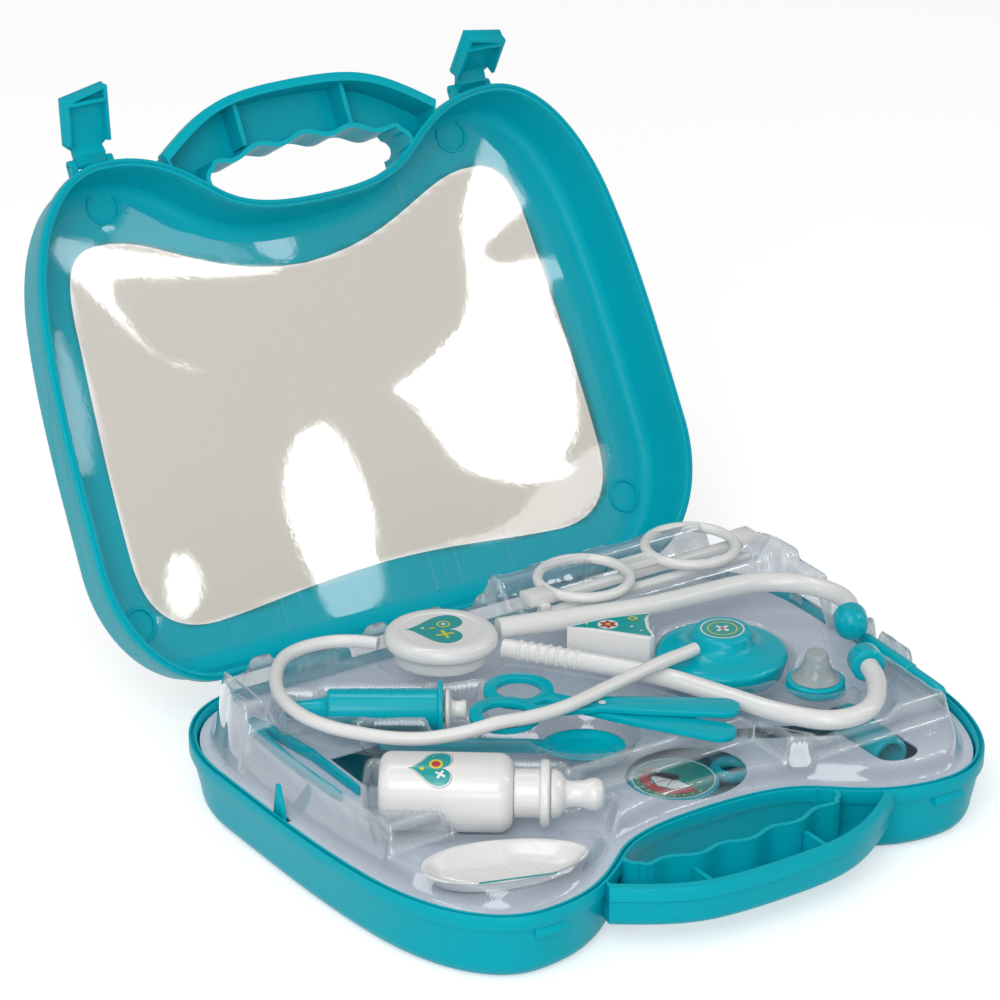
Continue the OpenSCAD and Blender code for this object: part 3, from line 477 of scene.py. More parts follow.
def smooth(mesh, angle=38):
    mesh.polygons.foreach_set("use_smooth", np.ones(len(mesh.polygons), bool))
    mesh.set_sharp_from_angle(angle=math.radians(angle))


def dress(ob, look, *nodes):  # a finished piece stands for its CAD nodes
    ob.data.materials.clear()
    for key in ([look] if isinstance(look, str) else look):
        ob.data.materials.append(materials[key])
    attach(ob, bodyOf[nodes[0]])
    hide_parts(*nodes)
    return ob


def softenNode(name, look, width, corner=35, steps=2):  # the CAD form with its edges rounded over
    mesh = frame["nodes"][name].data.copy()
    bm = bmesh.new()
    bm.from_mesh(mesh)
    bmesh.ops.remove_doubles(bm, verts=bm.verts, dist=2e-6)
    bmesh.ops.dissolve_limit(bm, angle_limit=math.radians(0.7), verts=bm.verts, edges=bm.edges, delimit={"NORMAL"})
    bm.to_mesh(mesh)
    bm.free()
    words = name.split("_")
    ob = newPiece(words[0] + "".join(w.capitalize() for w in words[1:]), mesh)
    rounding = ob.modifiers.new("rounding", "BEVEL")
    rounding.width, rounding.segments = width / 1000, steps
    rounding.limit_method, rounding.angle_limit = "ANGLE", math.radians(corner)
    rounding.use_clamp_overlap = True
    bakeMesh(ob)
    smooth(ob.data)
    return dress(ob, look, name)

# ---------- the two case halves ----------
caseForm = {  # millimetres
    "halfWidth": 145.0, "wall": 2.0, "bandHeight": 6.0, "bandOut": 1.3, "edgeRound": 8.0, "lip": 0.45,
    "handleDepth": 18.5, "handleY": 236.7, "handleRound": 5.0, "holeX": 44.0, "gripWave": 1.4,
}
halves = {"base": {"depth": 30.0, "draft": 6.0, "rim": 30.0, "up": -1}, "lid": {"depth": 31.0, "draft": 3.9, "rim": 30.3, "up": 1}}


def bezier(a, b, c, d, n):
    t = np.linspace(0, 1, n, endpoint=False)[:, None]
    a, b, c, d = (np.array(q, float) for q in (a, b, c, d))
    return (1 - t) ** 3 * a + 3 * (1 - t) ** 2 * t * b + 3 * (1 - t) * t * t * c + t ** 3 * d


def mirrored(half):
    return np.vstack([half, half[1:-1][::-1] * [-1, 1]])


def caseOutline(fine=1):
    w = caseForm["halfWidth"]
    p1, p2, p3, p4, mid = (102.2, 0), (w, -55.2), (w - 5.6, -159), (93.8, -217.9), (45, -196.5)
    half = np.vstack([
        bezier((0, 0), (34, 0), (68, 0), p1, 8 * fine), bezier(p1, (p1[0] + 23.5, 0), (w, -24.8), p2, 20 * fine),
        bezier(p2, (w - 0.7, -89.8), (w - 0.4, -124.8), p3, 10 * fine), bezier(p3, (w - 10.4, -191.1), (p4[0] + 25.1, p4[1]), p4, 20 * fine),
        bezier(p4, (p4[0] - 24, p4[1]), (58, -207), mid, 12 * fine), bezier(mid, (34, -188), (18, -186.5), (0, -186.5), 12 * fine), [[0, -186.5]]])
    return mirrored(half)


def inset(p, d):
    t = np.roll(p, -1, 0) - np.roll(p, 1, 0)
    n = np.column_stack([-t[:, 1], t[:, 0]])
    return p - n / np.linalg.norm(n, axis=1)[:, None] * d


def archOutline(d):  # the handle's outer edge and a closing line inside the body
    neck, y = (66.8, -215.9), -caseForm["handleY"]
    half = np.vstack([bezier(neck, (neck[0] - 24.5, neck[1] - 17.4), (33.4, y), (0, y), 26), [[0, y]]])
    p = np.vstack([half, half[:-1][::-1] * [-1, 1]])
    t = np.gradient(p, axis=0)
    n = np.column_stack([-t[:, 1], t[:, 0]])
    p = p - n / np.linalg.norm(n, axis=1)[:, None] * d
    return np.vstack([p, [(-62, -203), (-50, -186), (-30, -176), (0, -172), (30, -176), (50, -186), (62, -203)]])


def fingerHole():  # wavy on the outer side
    x0 = caseForm["holeX"]
    corner = [(x0 + 4.6 * math.cos(a), -200.9 + 4.5 * math.sin(a)) for a in np.radians(np.arange(90, -90, -15))]
    x = np.linspace(x0, -x0, 89)
    grip = np.column_stack([x, -206.3 - 4.7 * (1 - (np.abs(x) / x0) ** 2) - caseForm["gripWave"] * np.cos(np.radians(x * 15.6))])
    other = [(-q[0], q[1]) for q in corner[::-1]]
    return np.vstack([[(-x0, -170), (x0, -170)], corner, grip, other[:-1]])


def half3d(xy, w, h):  # outline points at a height over the parting face
    return np.column_stack([xy, np.full(len(xy), h["rim"] + h["up"] * w)])


def loft(name, rings):  # rings of equal count, closed at both ends
    bm = bmesh.new()
    rows = [[bm.verts.new(place(q)) for q in r] for r in rings]
    n = len(rows[0])
    for a, b in zip(rows, rows[1:]):
        for i in range(n):
            j = (i + 1) % n
            bm.faces.new((a[i], a[j], b[j], b[i]))
    bm.faces.new(rows[0][::-1])
    bm.faces.new(rows[-1])
    bmesh.ops.recalc_face_normals(bm, faces=bm.faces)
    mesh = bpy.data.meshes.new(name)
    bm.to_mesh(mesh)
    bm.free()
    return newPiece(name, mesh)


def prism(name, xy, w0, w1, h):
    return loft(name, [half3d(xy, w0, h), half3d(xy, w1, h)])


def cut(ob, tool, how="DIFFERENCE"):
    m = ob.modifiers.new("cut", "BOOLEAN")
    m.operation, m.solver, m.object = how, "MANIFOLD", tool
    bakeMesh(ob)
    bm = bmesh.new()
    bm.from_mesh(ob.data)
    bmesh.ops.triangulate(bm, faces=[q for q in bm.faces if len(q.verts) > 4])
    bm.to_mesh(ob.data)
    bm.free()
    mesh = tool.data
    bpy.data.objects.remove(tool)
    bpy.data.meshes.remove(mesh)
    return ob


def join(name, parts):  # separate forms into one mesh
    bm = bmesh.new()
    for p in parts:
        bm.from_mesh(p.data)
    mesh = bpy.data.meshes.new(name)
    bm.to_mesh(mesh)
    bm.free()
    for p in parts:
        old = p.data
        bpy.data.objects.remove(p)
        bpy.data.meshes.remove(old)
    return newPiece(name, mesh)


def rounding(r, flat, side, steps=8, rising=True):  # quarter round in (w, inset)
    a = np.linspace(0, math.pi / 2, steps)
    return [(flat + r * math.sin(q), side + r * (1 - math.cos(q))) for q in (a if rising else a[::-1])]


def caseHalf(name, h, extras):
    f, d = caseForm, h["depth"]
    rate = (h["draft"] - f["bandOut"]) / (d - f["bandHeight"])
    e = f["edgeRound"]
    side = f["bandOut"] + rate * (d - e - f["bandHeight"])
    lip = f["lip"]
    outside = rounding(e, d - e, side, 9, False) + [(7.2, f["bandOut"] + rate), (6.42, f["bandOut"]), (6.3, 1.12), (6.02, 0.5), (5.9, 0.2), (5.6, 0.04)]
    rim = [(lip, 0), (0.14, 0.1), (0, lip)]
    if name == "base":
        seam = [(0, 0.85), (0.12, 1.0), (1.6, 1.0), (1.6, 2.2), (0.12, 2.2), (0, 2.35)]
    else:
        seam = [(0, 1.3), (-1.0, 1.36), (-1.2, 1.46), (-1.2, 1.74), (-1.0, 1.84), (0, 1.9)]
    inWall = f["bandOut"] + f["wall"]
    inside = [(0, inWall - 0.4), (0.12, inWall - 0.12), (0.45, inWall), (f["bandHeight"], inWall)] + rounding(e - f["wall"], d - e, side + f["wall"], 8)
    body = caseOutline()
    shell = loft(name + "Case", [half3d(inset(body, i), w, h) for w, i in outside + rim + seam + inside])
    flange = [(0, lip), (0.14, 0.1), (lip, 0), (5.6, 0.04), (6.02, 0.5), (6.42, f["bandOut"])]
    r, deep = f["handleRound"], f["handleDepth"]
    grip = loft("grip", [half3d(archOutline(i), w, h) for w, i in flange + rounding(r, deep - r, f["bandOut"] + 0.8, 7)])
    core = loft("core", [half3d(inset(body, i + 0.6), w, h) for w, i in [(-3, 0), (0, 0), (5.6, 0)] + outside[:-1][::-1]])
    cut(grip, core)
    hole = fingerHole()
    inner = inset(hole, -2)[2:][::-1]
    cut(grip, prism("channel", np.vstack([archOutline(inWall + 0.6)[:-7], [(-62, -203)], inner, [(62, -203)]]), -1, deep - f["wall"], h))
    cut(grip, prism("hole", hole, -4, 40, h))
    for x in (-26, 26):  # cross ribs in the channel
        rib = [(x - 1, -213.2), (x + 1, -213.2), (x + 1, -231.4), (x - 1, -231.4)]
        extras.append(prism("rib", np.array(rib), 5.0, deep - f["wall"] + 0.2, h))
    cut(shell, grip, "UNION")
    return shell


def block(name, low, high):
    bm = bmesh.new()
    bmesh.ops.create_cube(bm, size=1)
    a, b = place(low), place(high)
    for v in bm.verts:
        v.co = Vector([(a[i] + b[i]) / 2 + v.co[i] * (b[i] - a[i]) for i in range(3)])
    mesh = bpy.data.meshes.new(name)
    bm.to_mesh(mesh)
    bm.free()
    return newPiece(name, mesh)


def rod(name, a, b, r, sides=32):
    bm = bmesh.new()
    a, b = place(a), place(b)
    bmesh.ops.create_cone(bm, cap_ends=True, segments=sides, radius1=r / 1000, radius2=r / 1000, depth=(b - a).length)
    mesh = bpy.data.meshes.new(name)
    bm.to_mesh(mesh)
    bm.free()
    mesh.transform(Matrix.Translation((a + b) / 2) @ (b - a).to_track_quat("Z", "X").to_matrix().to_4x4())
    return newPiece(name, mesh)


def roundOver(ob, width, steps=2, corner=35):
    m = ob.modifiers.new("rounding", "BEVEL")
    m.width, m.segments, m.limit_method, m.angle_limit, m.use_clamp_overlap = width / 1000, steps, "ANGLE", math.radians(corner), True
    return bakeMesh(ob)


def swingOpen(ob):
    pivot = Matrix.Translation(place((0, *hingeLine)))
    ob.data.transform(pivot @ Matrix.Rotation(lidTurn, 4, "X") @ pivot.inverted())
    return ob


hinges = {"x": 62.0, "half": 13.0, "knuckle": 3.1, "pin": 1.56}
latches = {"x": 93.0, "width": 20.0, "pin": 1.0}


def hingeEars(h):  # knuckles of one half, on its rear wall
    parts, lid = [], h["up"] > 0
    y, z, r, half = hingeLine[0], hingeLine[1], hinges["knuckle"], hinges["half"]
    for side in (-1, 1):
        mid = side * hinges["x"]
        spans = [(mid - half + 2.3, mid + half - 2.3)] if lid else [(mid - half - 2, mid - half + 2), (mid + half - 2, mid + half + 2)]
        for x0, x1 in spans:
            ear = rod("ear", (x0, y, z), (x1, y, z), r, 40)
            foot = block("foot", (x0, -1.5, 30.3), (x1, y, 33.7)) if lid else block("foot", (x0, -0.9, 24), (x1, y, 29.6))
            cut(ear, foot, "UNION")
            cut(ear, rod("bore", (x0 - 4, y, z), (x1 + 4, y, z), hinges["pin"], 32))
            parts.append(roundOver(ear, 0.25))
    return parts


def buildBase():
    h, extras = halves["base"], []
    shell = caseHalf("base", h, extras)
    piece = loft("fin", [[(x, -98 - q[0], q[1]) for q in [(-4, 12), (4, 12), (4, 31), (0.4, 41), (-1.6, 41), (-2.8, 34), (-4, 27)]] for x in (-139.4, -137.8)])
    extras.append(roundOver(piece, 0.4))
    for side in (-1, 1):  # latch catches
        x = side * latches["x"]
        bump = [(3, 20.2), (-0.2, 20.2), (-0.2, 21.4), (1.2, 23.9), (3, 23.9)]
        extras.append(roundOver(loft("catch", [[(x + e, -218 + q[0], q[1]) for q in bump] for e in (-7, 7)]), 0.2))
    whole = join("baseCase", [shell] + extras + hingeEars(h))
    smooth(whole.data)
    return dress(whole, "tealShell", "base_shell", "base_floor", "base_handle")


baseCase = buildBase()
print("base case built:", len(baseCase.data.polygons), "faces")

windowHalf = [((0, -30), (34, -30), (60, -25), (86, -24)), ((86, -24), (108, -24), (117, -36), (117, -58)), ((117, -58), (117, -90), (115, -120), (113, -150)),
              ((113, -150), (112, -176), (108, -187), (94, -188)), ((94, -188), (66, -190), (50, -164), (0, -162.5))]


def windowOutline():
    return mirrored(np.vstack([bezier(*q, 12) for q in windowHalf] + [[(0, -162.5)]]))


stakes = {"at": [(-86, -203), (86, -203), (-121.2, -30.9), (121.2, -30.9)], "radius": 7.5, "wall": 1.2}


def buildLid():
    h, extras = halves["lid"], []
    shell = caseHalf("lid", h, extras)
    opening, top = windowOutline(), h["depth"]
    rings = [(opening, top - 5, 0), (opening, top - 2.0, 0), (opening, top - 0.5, 0), (opening, top - 0.12, -0.12), (opening, top, -0.6), (opening, top + 4, -0.6)]
    cut(shell, loft("opening", [half3d(inset(p, i), w, h) for p, w, i in rings]))
    for x, y in stakes["at"]:  # round film stakes
        z = h["rim"] + top - 2
        ring = rod("stake", (x, y, z - 1), (x, y, z + 0.3), stakes["radius"], 40)
        cut(ring, rod("bore", (x, y, z - 3), (x, y, z + 2), stakes["radius"] - stakes["wall"], 40))
        body = caseOutline()
        cut(ring, loft("wall", [half3d(inset(body, 9.5), w, h) for w in (20, 40)]), "INTERSECT")
        extras.append(roundOver(ring, 0.2))
    for side in (-1, 1):  # latch lugs
        x, y, z = side * latches["x"], -220.6, 44.8
        for k in (-1, 1):
            mid = x + k * (latches["width"] / 2 - 1.5)
            lug = rod("lug", (mid - 1.5, y, z), (mid + 1.5, y, z), 2.2, 28)
            cut(lug, block("foot", (mid - 1.5, y, z - 2.2), (mid + 1.5, y + 5.8, z + 2.2)), "UNION")
            extras.append(roundOver(lug, 0.2))
    whole = swingOpen(join("lidCase", [shell] + extras + hingeEars(h)))
    smooth(whole.data)
    return dress(whole, "tealShell", "lid_shell", "lid_face", "lid_handle")


lidCase = buildLid()
print("lid case built:", len(lidCase.data.polygons), "faces")

# ---------- clear sheets ----------
tray = {  # heights in millimetres over the floor
    "flange": 27.8, "deckLow": 36.0, "deckMid": 46.4, "deckHigh": 52.8, "ridge": 57.4,
    "lumps": [(57.4, -63, -24), (53.5, -84, -60), (55.4, -116, -87), (49.6, -143, -117)], "lumpOut": 3.4, "lumpSlope": 1.7,
    "step": 0.95, "slope": 3.2, "soften": 0.9, "ripple": 0.16,
}
syringe = {"at": (-92.0, -56.0), "turn": -32.4, "height": 42.0, "radius": 8.5, "length": 45.0}
bottle = {"at": (-111.0, -126.0), "turn": -35.0, "height": 43.2, "radius": 14.3, "length": 51.0}
rearArm = [(-12, -46), (6, -50.5), (24, -55.5), (40, -60), (56, -63.5), (70, -65), (84, -66), (98, -67), (108, -69), (117, -74), (124, -81), (128.5, -90), (130, -99), (128, -107), (123, -114)]
frontArm = [(-14, -51, 47.6), (-5, -63, 47.6), (4, -75, 47.6), (12, -86, 47.6), (20, -97.5, 47.6), (27, -108, 47.6), (33, -120, 47.6), (38, -133, 47.6), (43, -146, 47.6), (48, -159, 47.6),
            (54, -170, 47.7), (60.5, -178.5, 47.9), (68.5, -182.5, 48.2), (77, -182.5, 48.5), (85, -178.5, 48.8), (92, -171.5, 49), (98, -163, 49.2), (102, -154, 49.4)]
chestAt, scopeAt = (64.0, -106.0), (84.0, -142.5)
gauge = {"at": (7.0, -153.0), "face": 16.6, "top": 26.2}
badgeOutline = [(15, -66), (33, -67.6), (51, -73.5), (46.5, -79), (42.5, -86), (40.5, -92.5), (37, -93.5), (30, -85), (22, -75)]


def toPolygon(p, poly):  # signed distance, negative inside
    poly = np.array(poly, float)
    best, inside = np.full(len(p), 1e9), np.zeros(len(p), bool)
    for a, b in zip(poly, np.roll(poly, -1, 0)):
        d = b - a
        t = np.clip(((p - a) @ d) / (d @ d + 1e-12), 0, 1)
        best = np.minimum(best, np.hypot(*(p - a - t[:, None] * d).T))
        cross = (a[1] > p[:, 1]) != (b[1] > p[:, 1])
        inside ^= cross & (p[:, 0] < d[0] * (p[:, 1] - a[1]) / (d[1] + 1e-12) + a[0])
    return np.where(inside, -best, best)


def toPath(p, path, r):  # distance to a line of given half width
    best = np.full(len(p), 1e9)
    for a, b in zip(np.array(path, float)[:-1, :2], np.array(path, float)[1:, :2]):
        d = b - a
        t = np.clip(((p - a) @ d) / (d @ d), 0, 1)
        best = np.minimum(best, np.hypot(*(p - a - t[:, None] * d).T))
    return best - r


def toDisc(p, at, r, squash=1.0, turn=0.0):
    c, s = math.cos(math.radians(turn)), math.sin(math.radians(turn))
    q = p - np.array(at)
    u, v = q[:, 0] * c + q[:, 1] * s, (-q[:, 0] * s + q[:, 1] * c) / squash
    return (np.hypot(u, v) - r) * (squash if squash < 1 else 1)


def toBox(p, low, high, at=(0, 0), turn=0.0):  # a box drawn at a turned place
    c, s = math.cos(math.radians(turn)), math.sin(math.radians(turn))
    q = p - np.array(at)
    u = np.column_stack([q[:, 0] * c + q[:, 1] * s, -q[:, 0] * s + q[:, 1] * c])
    mid, half = (np.array(low) + high) / 2, (np.array(high) - low) / 2
    d = np.abs(u - mid) - half
    return np.hypot(*np.maximum(d, 0).T) + np.minimum(d.max(1), 0)


def eggOutline(r, n=72):  # the stethoscope hub seen from above
    a = np.radians(-np.arange(n) * 360 / n)
    k = r * (1 + 0.05 * np.cos(a + math.radians(40)) + 0.035 * np.cos(2 * (a + math.radians(40))))
    return np.column_stack([-32 + k * np.cos(a), -43 + k * np.sin(a)])


def trayHeight(p):
    body = caseOutline()
    t = tray
    rise = lambda d: np.clip(-d / t["slope"], 0, 1)
    z = np.full(len(p), t["flange"])
    rim = toPolygon(p, inset(body, 9.0))
    pleat = 0.9 * np.tanh(3 * np.sin((p[:, 0] - 0.8 * p[:, 1]) * 2 * math.pi / 27))
    wall = rim + 1 + pleat
    decks = [(t["deckLow"], rim),
             (t["deckMid"], np.maximum(rim + 2, np.minimum(toBox(p, (-150, -160), (150, 10)), toBox(p, (40, -186), (150, -126))))),
             (t["deckHigh"], np.maximum(rim + 3, toBox(p, (8, -57), (148, 3)))),
             (t["ridge"], np.maximum(wall, toBox(p, (-150, -15), (150, 3)))),
             (t["ridge"], np.maximum(wall, toBox(p, (8, -24), (150, 3)))),
             (t["ridge"], np.maximum(wall, toBox(p, (-150, -64), (-119, 3))))]
    for top, d in decks:
        z = np.maximum(z, t["flange"] + (top - t["flange"]) * rise(d))
    for top, y0, y1 in t["lumps"]:  # steep humps along the right wall
        d = np.maximum(rim - t["lumpOut"], toBox(p, (126, y0), (150, y1)))
        z = np.maximum(z, t["flange"] + (top - t["flange"]) * np.clip(-d / t["lumpSlope"], 0, 1))
    sy, bo = syringe, bottle
    pits = [(42.7, toPolygon(p, eggOutline(24.1))), (46.5, toPath(p, rearArm, 5.8)), (43.3, toPath(p, frontArm, 5.4)),
            (42.1, np.minimum(toPath(p, [(122.4, -114.9), (115.4, -126)], 8.2), toPath(p, [(102.4, -153), (107.4, -140)], 8.2))),
            (47.0, np.minimum(toPath(p, [(18, -31), (130, -29)], 4.6), toPath(p, [(18, -42), (126, -41)], 4.6))),
            (33.2, np.minimum(toBox(p, (-1.5, -9.6), (47.5, 9.6), sy["at"], sy["turn"]), toBox(p, (-19, -6), (1, 6), sy["at"], sy["turn"]))),
            (29.9, toBox(p, (sy["length"] - 2.4, -13.2), (sy["length"] + 14.5, 13.2), sy["at"], sy["turn"])),
            (37.7, toDisc(p, chestAt, 27.3)), (39.7, toDisc(p, scopeAt, 13.4)), (43.0, toPolygon(p, badgeOutline) - 1.6),
            (37.0, np.minimum(toDisc(p, (-22, -133), 18.5, 0.8, -33), toPath(p, [(-34, -123), (-88, -86)], 6.0))),
            (28.5, np.minimum(toBox(p, (-1.6, -15.8), (bo["length"] + 15.4, 15.8), bo["at"], bo["turn"]), toBox(p, (60, -10.5), (87, 10.5), bo["at"], bo["turn"]))),
            (36.0, toPath(p, [(129.5, -108), (124.5, -176)], 4.6))]
    for floor, d in pits:
        z = np.where(d < t["slope"], np.minimum(z, floor + np.maximum(z - floor, 0) * np.clip(d / t["slope"], 0, 1)), z)
    return z


def blur(z, cells):
    r = int(3 * cells + 1)
    k = np.exp(-0.5 * (np.arange(-r, r + 1) / cells) ** 2)
    k /= k.sum()
    pad = np.pad(z, r, mode="edge")
    pad = np.apply_along_axis(lambda v: np.convolve(v, k, "valid"), 0, pad)
    return np.apply_along_axis(lambda v: np.convolve(v, k, "valid"), 1, pad)


def gridSheet(name, step, edge, height, smoky):  # a sheet over the plan, trimmed to where edge(p) < 0
    x, y = np.arange(-142, 142 + step, step), np.arange(-221, 3, step)
    gx, gy = np.meshgrid(x, y)
    p = np.column_stack([gx.ravel(), gy.ravel()])
    d = edge(p)
    dx, dy = (edge(p + q) - edge(p - q) for q in ([0.05, 0], [0, 0.05]))
    n = np.column_stack([dx, dy])
    n /= np.linalg.norm(n, axis=1)[:, None] + 1e-9
    near = np.abs(d) < 0.75 * step
    z = height(p, gx.shape)
    slopes = np.gradient(z.reshape(gx.shape), step)
    steep = np.hypot(*slopes).ravel()
    bend = np.hypot(np.gradient(slopes[0], step, axis=0), np.gradient(slopes[1], step, axis=1)).ravel()
    p = np.where(near[:, None], p - n * d[:, None], p)
    keep = d < 0.75 * step
    w = gx.shape[1]
    i = (np.arange(gx.shape[0] - 1)[:, None] * w + np.arange(w - 1)).ravel()
    quads = np.column_stack([i, i + 1, i + w + 1, i + w])
    quads = quads[keep[quads].all(1)]
    c = p[quads]
    area = sum(c[:, k, 0] * c[:, (k + 1) % 4, 1] - c[:, (k + 1) % 4, 0] * c[:, k, 1] for k in range(4)) / 2
    quads = quads[area > 0.04 * step * step]
    used = np.unique(quads)
    back = np.full(len(p), -1)
    back[used] = np.arange(len(used))
    mesh = bpy.data.meshes.new(name)
    mesh.from_pydata([place((p[k][0], p[k][1], z[k])) for k in used], [], [tuple(q) for q in back[quads]])
    mesh.polygons.foreach_set("use_smooth", np.ones(len(mesh.polygons), bool))
    # creaseGlint marks where the painted highlight lines go along the sharp bends
    for label, value in (("smoky", smoky(p[used], steep[used])), ("creaseGlint", np.clip((bend[used] - 0.4) / 0.6, 0, 1))):
        mesh.attributes.new(label, "FLOAT", "POINT").data.foreach_set("value", value.astype(np.float32))
    return newPiece(name, mesh)


def ripple(p, scale, seed):
    return np.array([noise.noise(Vector((a / scale, b / scale, seed))) for a, b in p])


def buildTrayFilm():
    edge = inset(caseOutline(), 5.0)

    def trimmed(p):
        return np.maximum(toPolygon(p, edge), -toBox(p, (-142, -103), (-136, -93)))

    def height(p, shape):
        z = blur(trayHeight(p).reshape(shape), tray["soften"] / tray["step"]).ravel()
        return z + tray["ripple"] * (ripple(p, 11, 3.1) + 0.6 * ripple(p, 4.5, 8.7)) * np.clip((z - 28.5) / 6, 0, 1)
    # painted shade: the steep walls of the tray film are tinted grey and mirror more strongly than its flat parts
    film = gridSheet("trayFilm", tray["step"], trimmed, height, lambda p, steep: 0.8 * np.clip(steep / 2.5 - 0.08, 0, 1))
    return dress(film, "trayFilm", "tray_film")


window = {"inset": 12.2, "level": 58.75, "wave": 0.45, "step": 3.0}
sheens = [  # outlines of the lit patches as the camera sees them on the film, and their brightness
    (6, [(52, 235), (75, 238), (100, 250), (150, 260), (240, 272), (300, 268), (240, 285), (165, 280), (120, 276), (104, 286), (130, 325), (175, 355), (227, 369), (165, 350), (120, 322), (80, 285), (55, 262)]),
    (2, [(122, 205), (165, 215), (190, 238), (262, 258), (250, 268), (150, 256), (100, 246), (118, 232)]),
    (6, [(255, 226), (290, 214), (303, 262), (264, 262)]), (3, [(347, 190), (384, 168), (370, 202)]),
    (6, [(475, 145), (487, 132), (510, 150), (515, 180), (537, 200), (535, 215), (500, 237), (485, 255), (505, 267), (530, 255), (567, 245), (567, 267), (545, 272), (542, 300), (555, 340), (562, 375),
         (570, 440), (552, 455), (576, 470), (540, 478), (500, 472), (465, 460), (440, 425), (425, 402), (398, 383), (435, 360), (460, 320), (470, 280), (462, 240), (460, 200), (470, 170)]),
    (6, [(300, 430), (320, 423), (340, 440), (360, 475), (375, 525), (377, 555), (390, 585), (390, 605), (340, 625), (320, 590), (295, 540), (282, 490), (287, 450)]),
    (5, [(166, 562), (182, 556), (196, 575), (200, 600), (190, 620), (172, 616), (162, 590)]),
    (5, [(48, 320), (65, 350), (85, 440), (90, 480), (74, 466), (58, 400)]), (2, [(540, 478), (600, 440), (606, 480), (570, 520), (520, 540), (420, 552), (520, 520)]),
]
softboxes = [  # place, width, height, brightness
    ((-600, -1500, 160), 900, 300, 5), ((-200, 500, 1500), 1100, 220, 6), ((1300, -700, 700), 300, 800, 4), ((-1500, 200, 600), 260, 700, 4),
]


def buildWindowFilm():
    edge = inset(caseOutline(), window["inset"])

    def trimmed(p):
        d = toPolygon(p, edge)
        for at in stakes["at"]:
            d = np.maximum(d, 8.0 - np.hypot(*(p - np.array(at)).T))
        return d

    def height(p, shape):
        return window["level"] - window["wave"] * (0.5 + 0.5 * ripple(p, 62, 5.3))
    rim = windowOutline()
    # the window film is tinted grey across the opening only and stays clear over the frame
    film = swingOpen(gridSheet("windowFilm", window["step"], trimmed, height, lambda p, steep: np.clip(0.5 - toPolygon(p, rim) / 2, 0, 1)))
    return dress(film, "windowFilm", "window_film")


def glowCard(name, points, faces, bright):  # a light that only shows in reflections
    m, t, out = startMaterial(name)
    glow = node(t, "ShaderNodeEmission", in_Strength=float(bright))
    t.links.new(glow.outputs[0], out.inputs["Surface"])
    mesh = bpy.data.meshes.new(name)
    mesh.from_pydata(points, [], faces)
    mesh.materials.append(m)
    card = newPiece(name, mesh)
    for kind in ("camera", "diffuse", "transmission", "volume_scatter", "shadow"):
        setattr(card, "visible_" + kind, False)


def rounded(p, times=3):
    for _ in range(times):
        q = [np.roll(p, -1, 0), p]
        p = np.column_stack([0.25 * q[0] + 0.75 * q[1], 0.75 * q[0] + 0.25 * q[1]]).reshape(-1, 2)
    return p


def hangSheens(ahead=0.62):  # lamps placed where the film mirrors them to the camera
    onFilm, beside, below = (place(openLid((x, y, window["level"]))) for x, y in ((0, -100), (50, -100), (0, -160)))
    normal = (beside - onFilm).cross(below - onFilm).normalized()
    eye, turn = camera.location, camera.rotation_euler.to_matrix()
    if (eye - onFilm).dot(normal) < 0:
        normal = -normal
    away = (eye - onFilm).dot(normal)
    ghost = eye - 2 * away * normal
    focal = view["lens"] / 36 * 1000
    for i, (bright, outline) in enumerate(sheens):
        points = []
        for x, y in rounded(np.array(outline, float)):
            ray = turn @ Vector((x - 500, 500 - y, -focal))
            hit = eye + ray * ((onFilm - eye).dot(normal) / ray.dot(normal))
            points.append(ghost + (hit - ghost) * (1 + ahead / away))
        glowCard("sheen%d" % (i + 1), points, [tuple(range(len(points)))], 1.6 * bright)
    for i, (at, w, h, bright) in enumerate(softboxes):
        at = place(at)
        square = (Vector((0, 0, 0.05)) - at).to_track_quat("-Z", "Y").to_matrix()
        points = [at + square @ Vector((a * w / 2000, b * h / 2000, 0)) for a, b in ((-1, -1), (1, -1), (1, 1), (-1, 1))]
        glowCard("softbox%d" % (i + 1), points, [(0, 1, 2, 3)], bright)



trayFilm = buildTrayFilm()
print("tray film formed:", len(trayFilm.data.polygons), "faces")
windowFilm = buildWindowFilm()
hangSheens()
print("window film laid in:", len(windowFilm.data.polygons), "faces")


# ---------- shapes that follow a line or turn about an axis ----------
def flowing(points, steps=6):  # smooth line through the points
    p = np.array(points, float)
    p = np.vstack([2 * p[0] - p[1], p, 2 * p[-1] - p[-2]])
    rows = []
    for i in range(1, len(p) - 2):
        t = np.linspace(0, 1, steps, endpoint=False)[:, None]
        a, b, c, d = p[i - 1], p[i], p[i + 1], p[i + 2]
        rows.append(0.5 * (2 * b + (c - a) * t + (2 * a - 5 * b + 4 * c - d) * t ** 2 + (3 * b - a - 3 * c + d) * t ** 3))
    return np.vstack(rows + [p[-2][None]])


def sweep(name, line, radius, sides=28):  # a round bar along a line
    line = np.array(line, float)
    n = len(line)
    radius = np.broadcast_to(np.array(radius, float), (n,)).copy()
    tang = np.gradient(line, axis=0)
    tang /= np.linalg.norm(tang, axis=1)[:, None]
    side = np.cross(tang, [0, 0, 1.0])
    side /= np.linalg.norm(side, axis=1)[:, None]
    up = np.cross(side, tang)
    a = np.linspace(0, 2 * math.pi, sides, endpoint=False)
    rings = [line[i] + radius[i] * (np.cos(a)[:, None] * side[i] + np.sin(a)[:, None] * up[i]) for i in range(n)]
    return loft(name, rings)


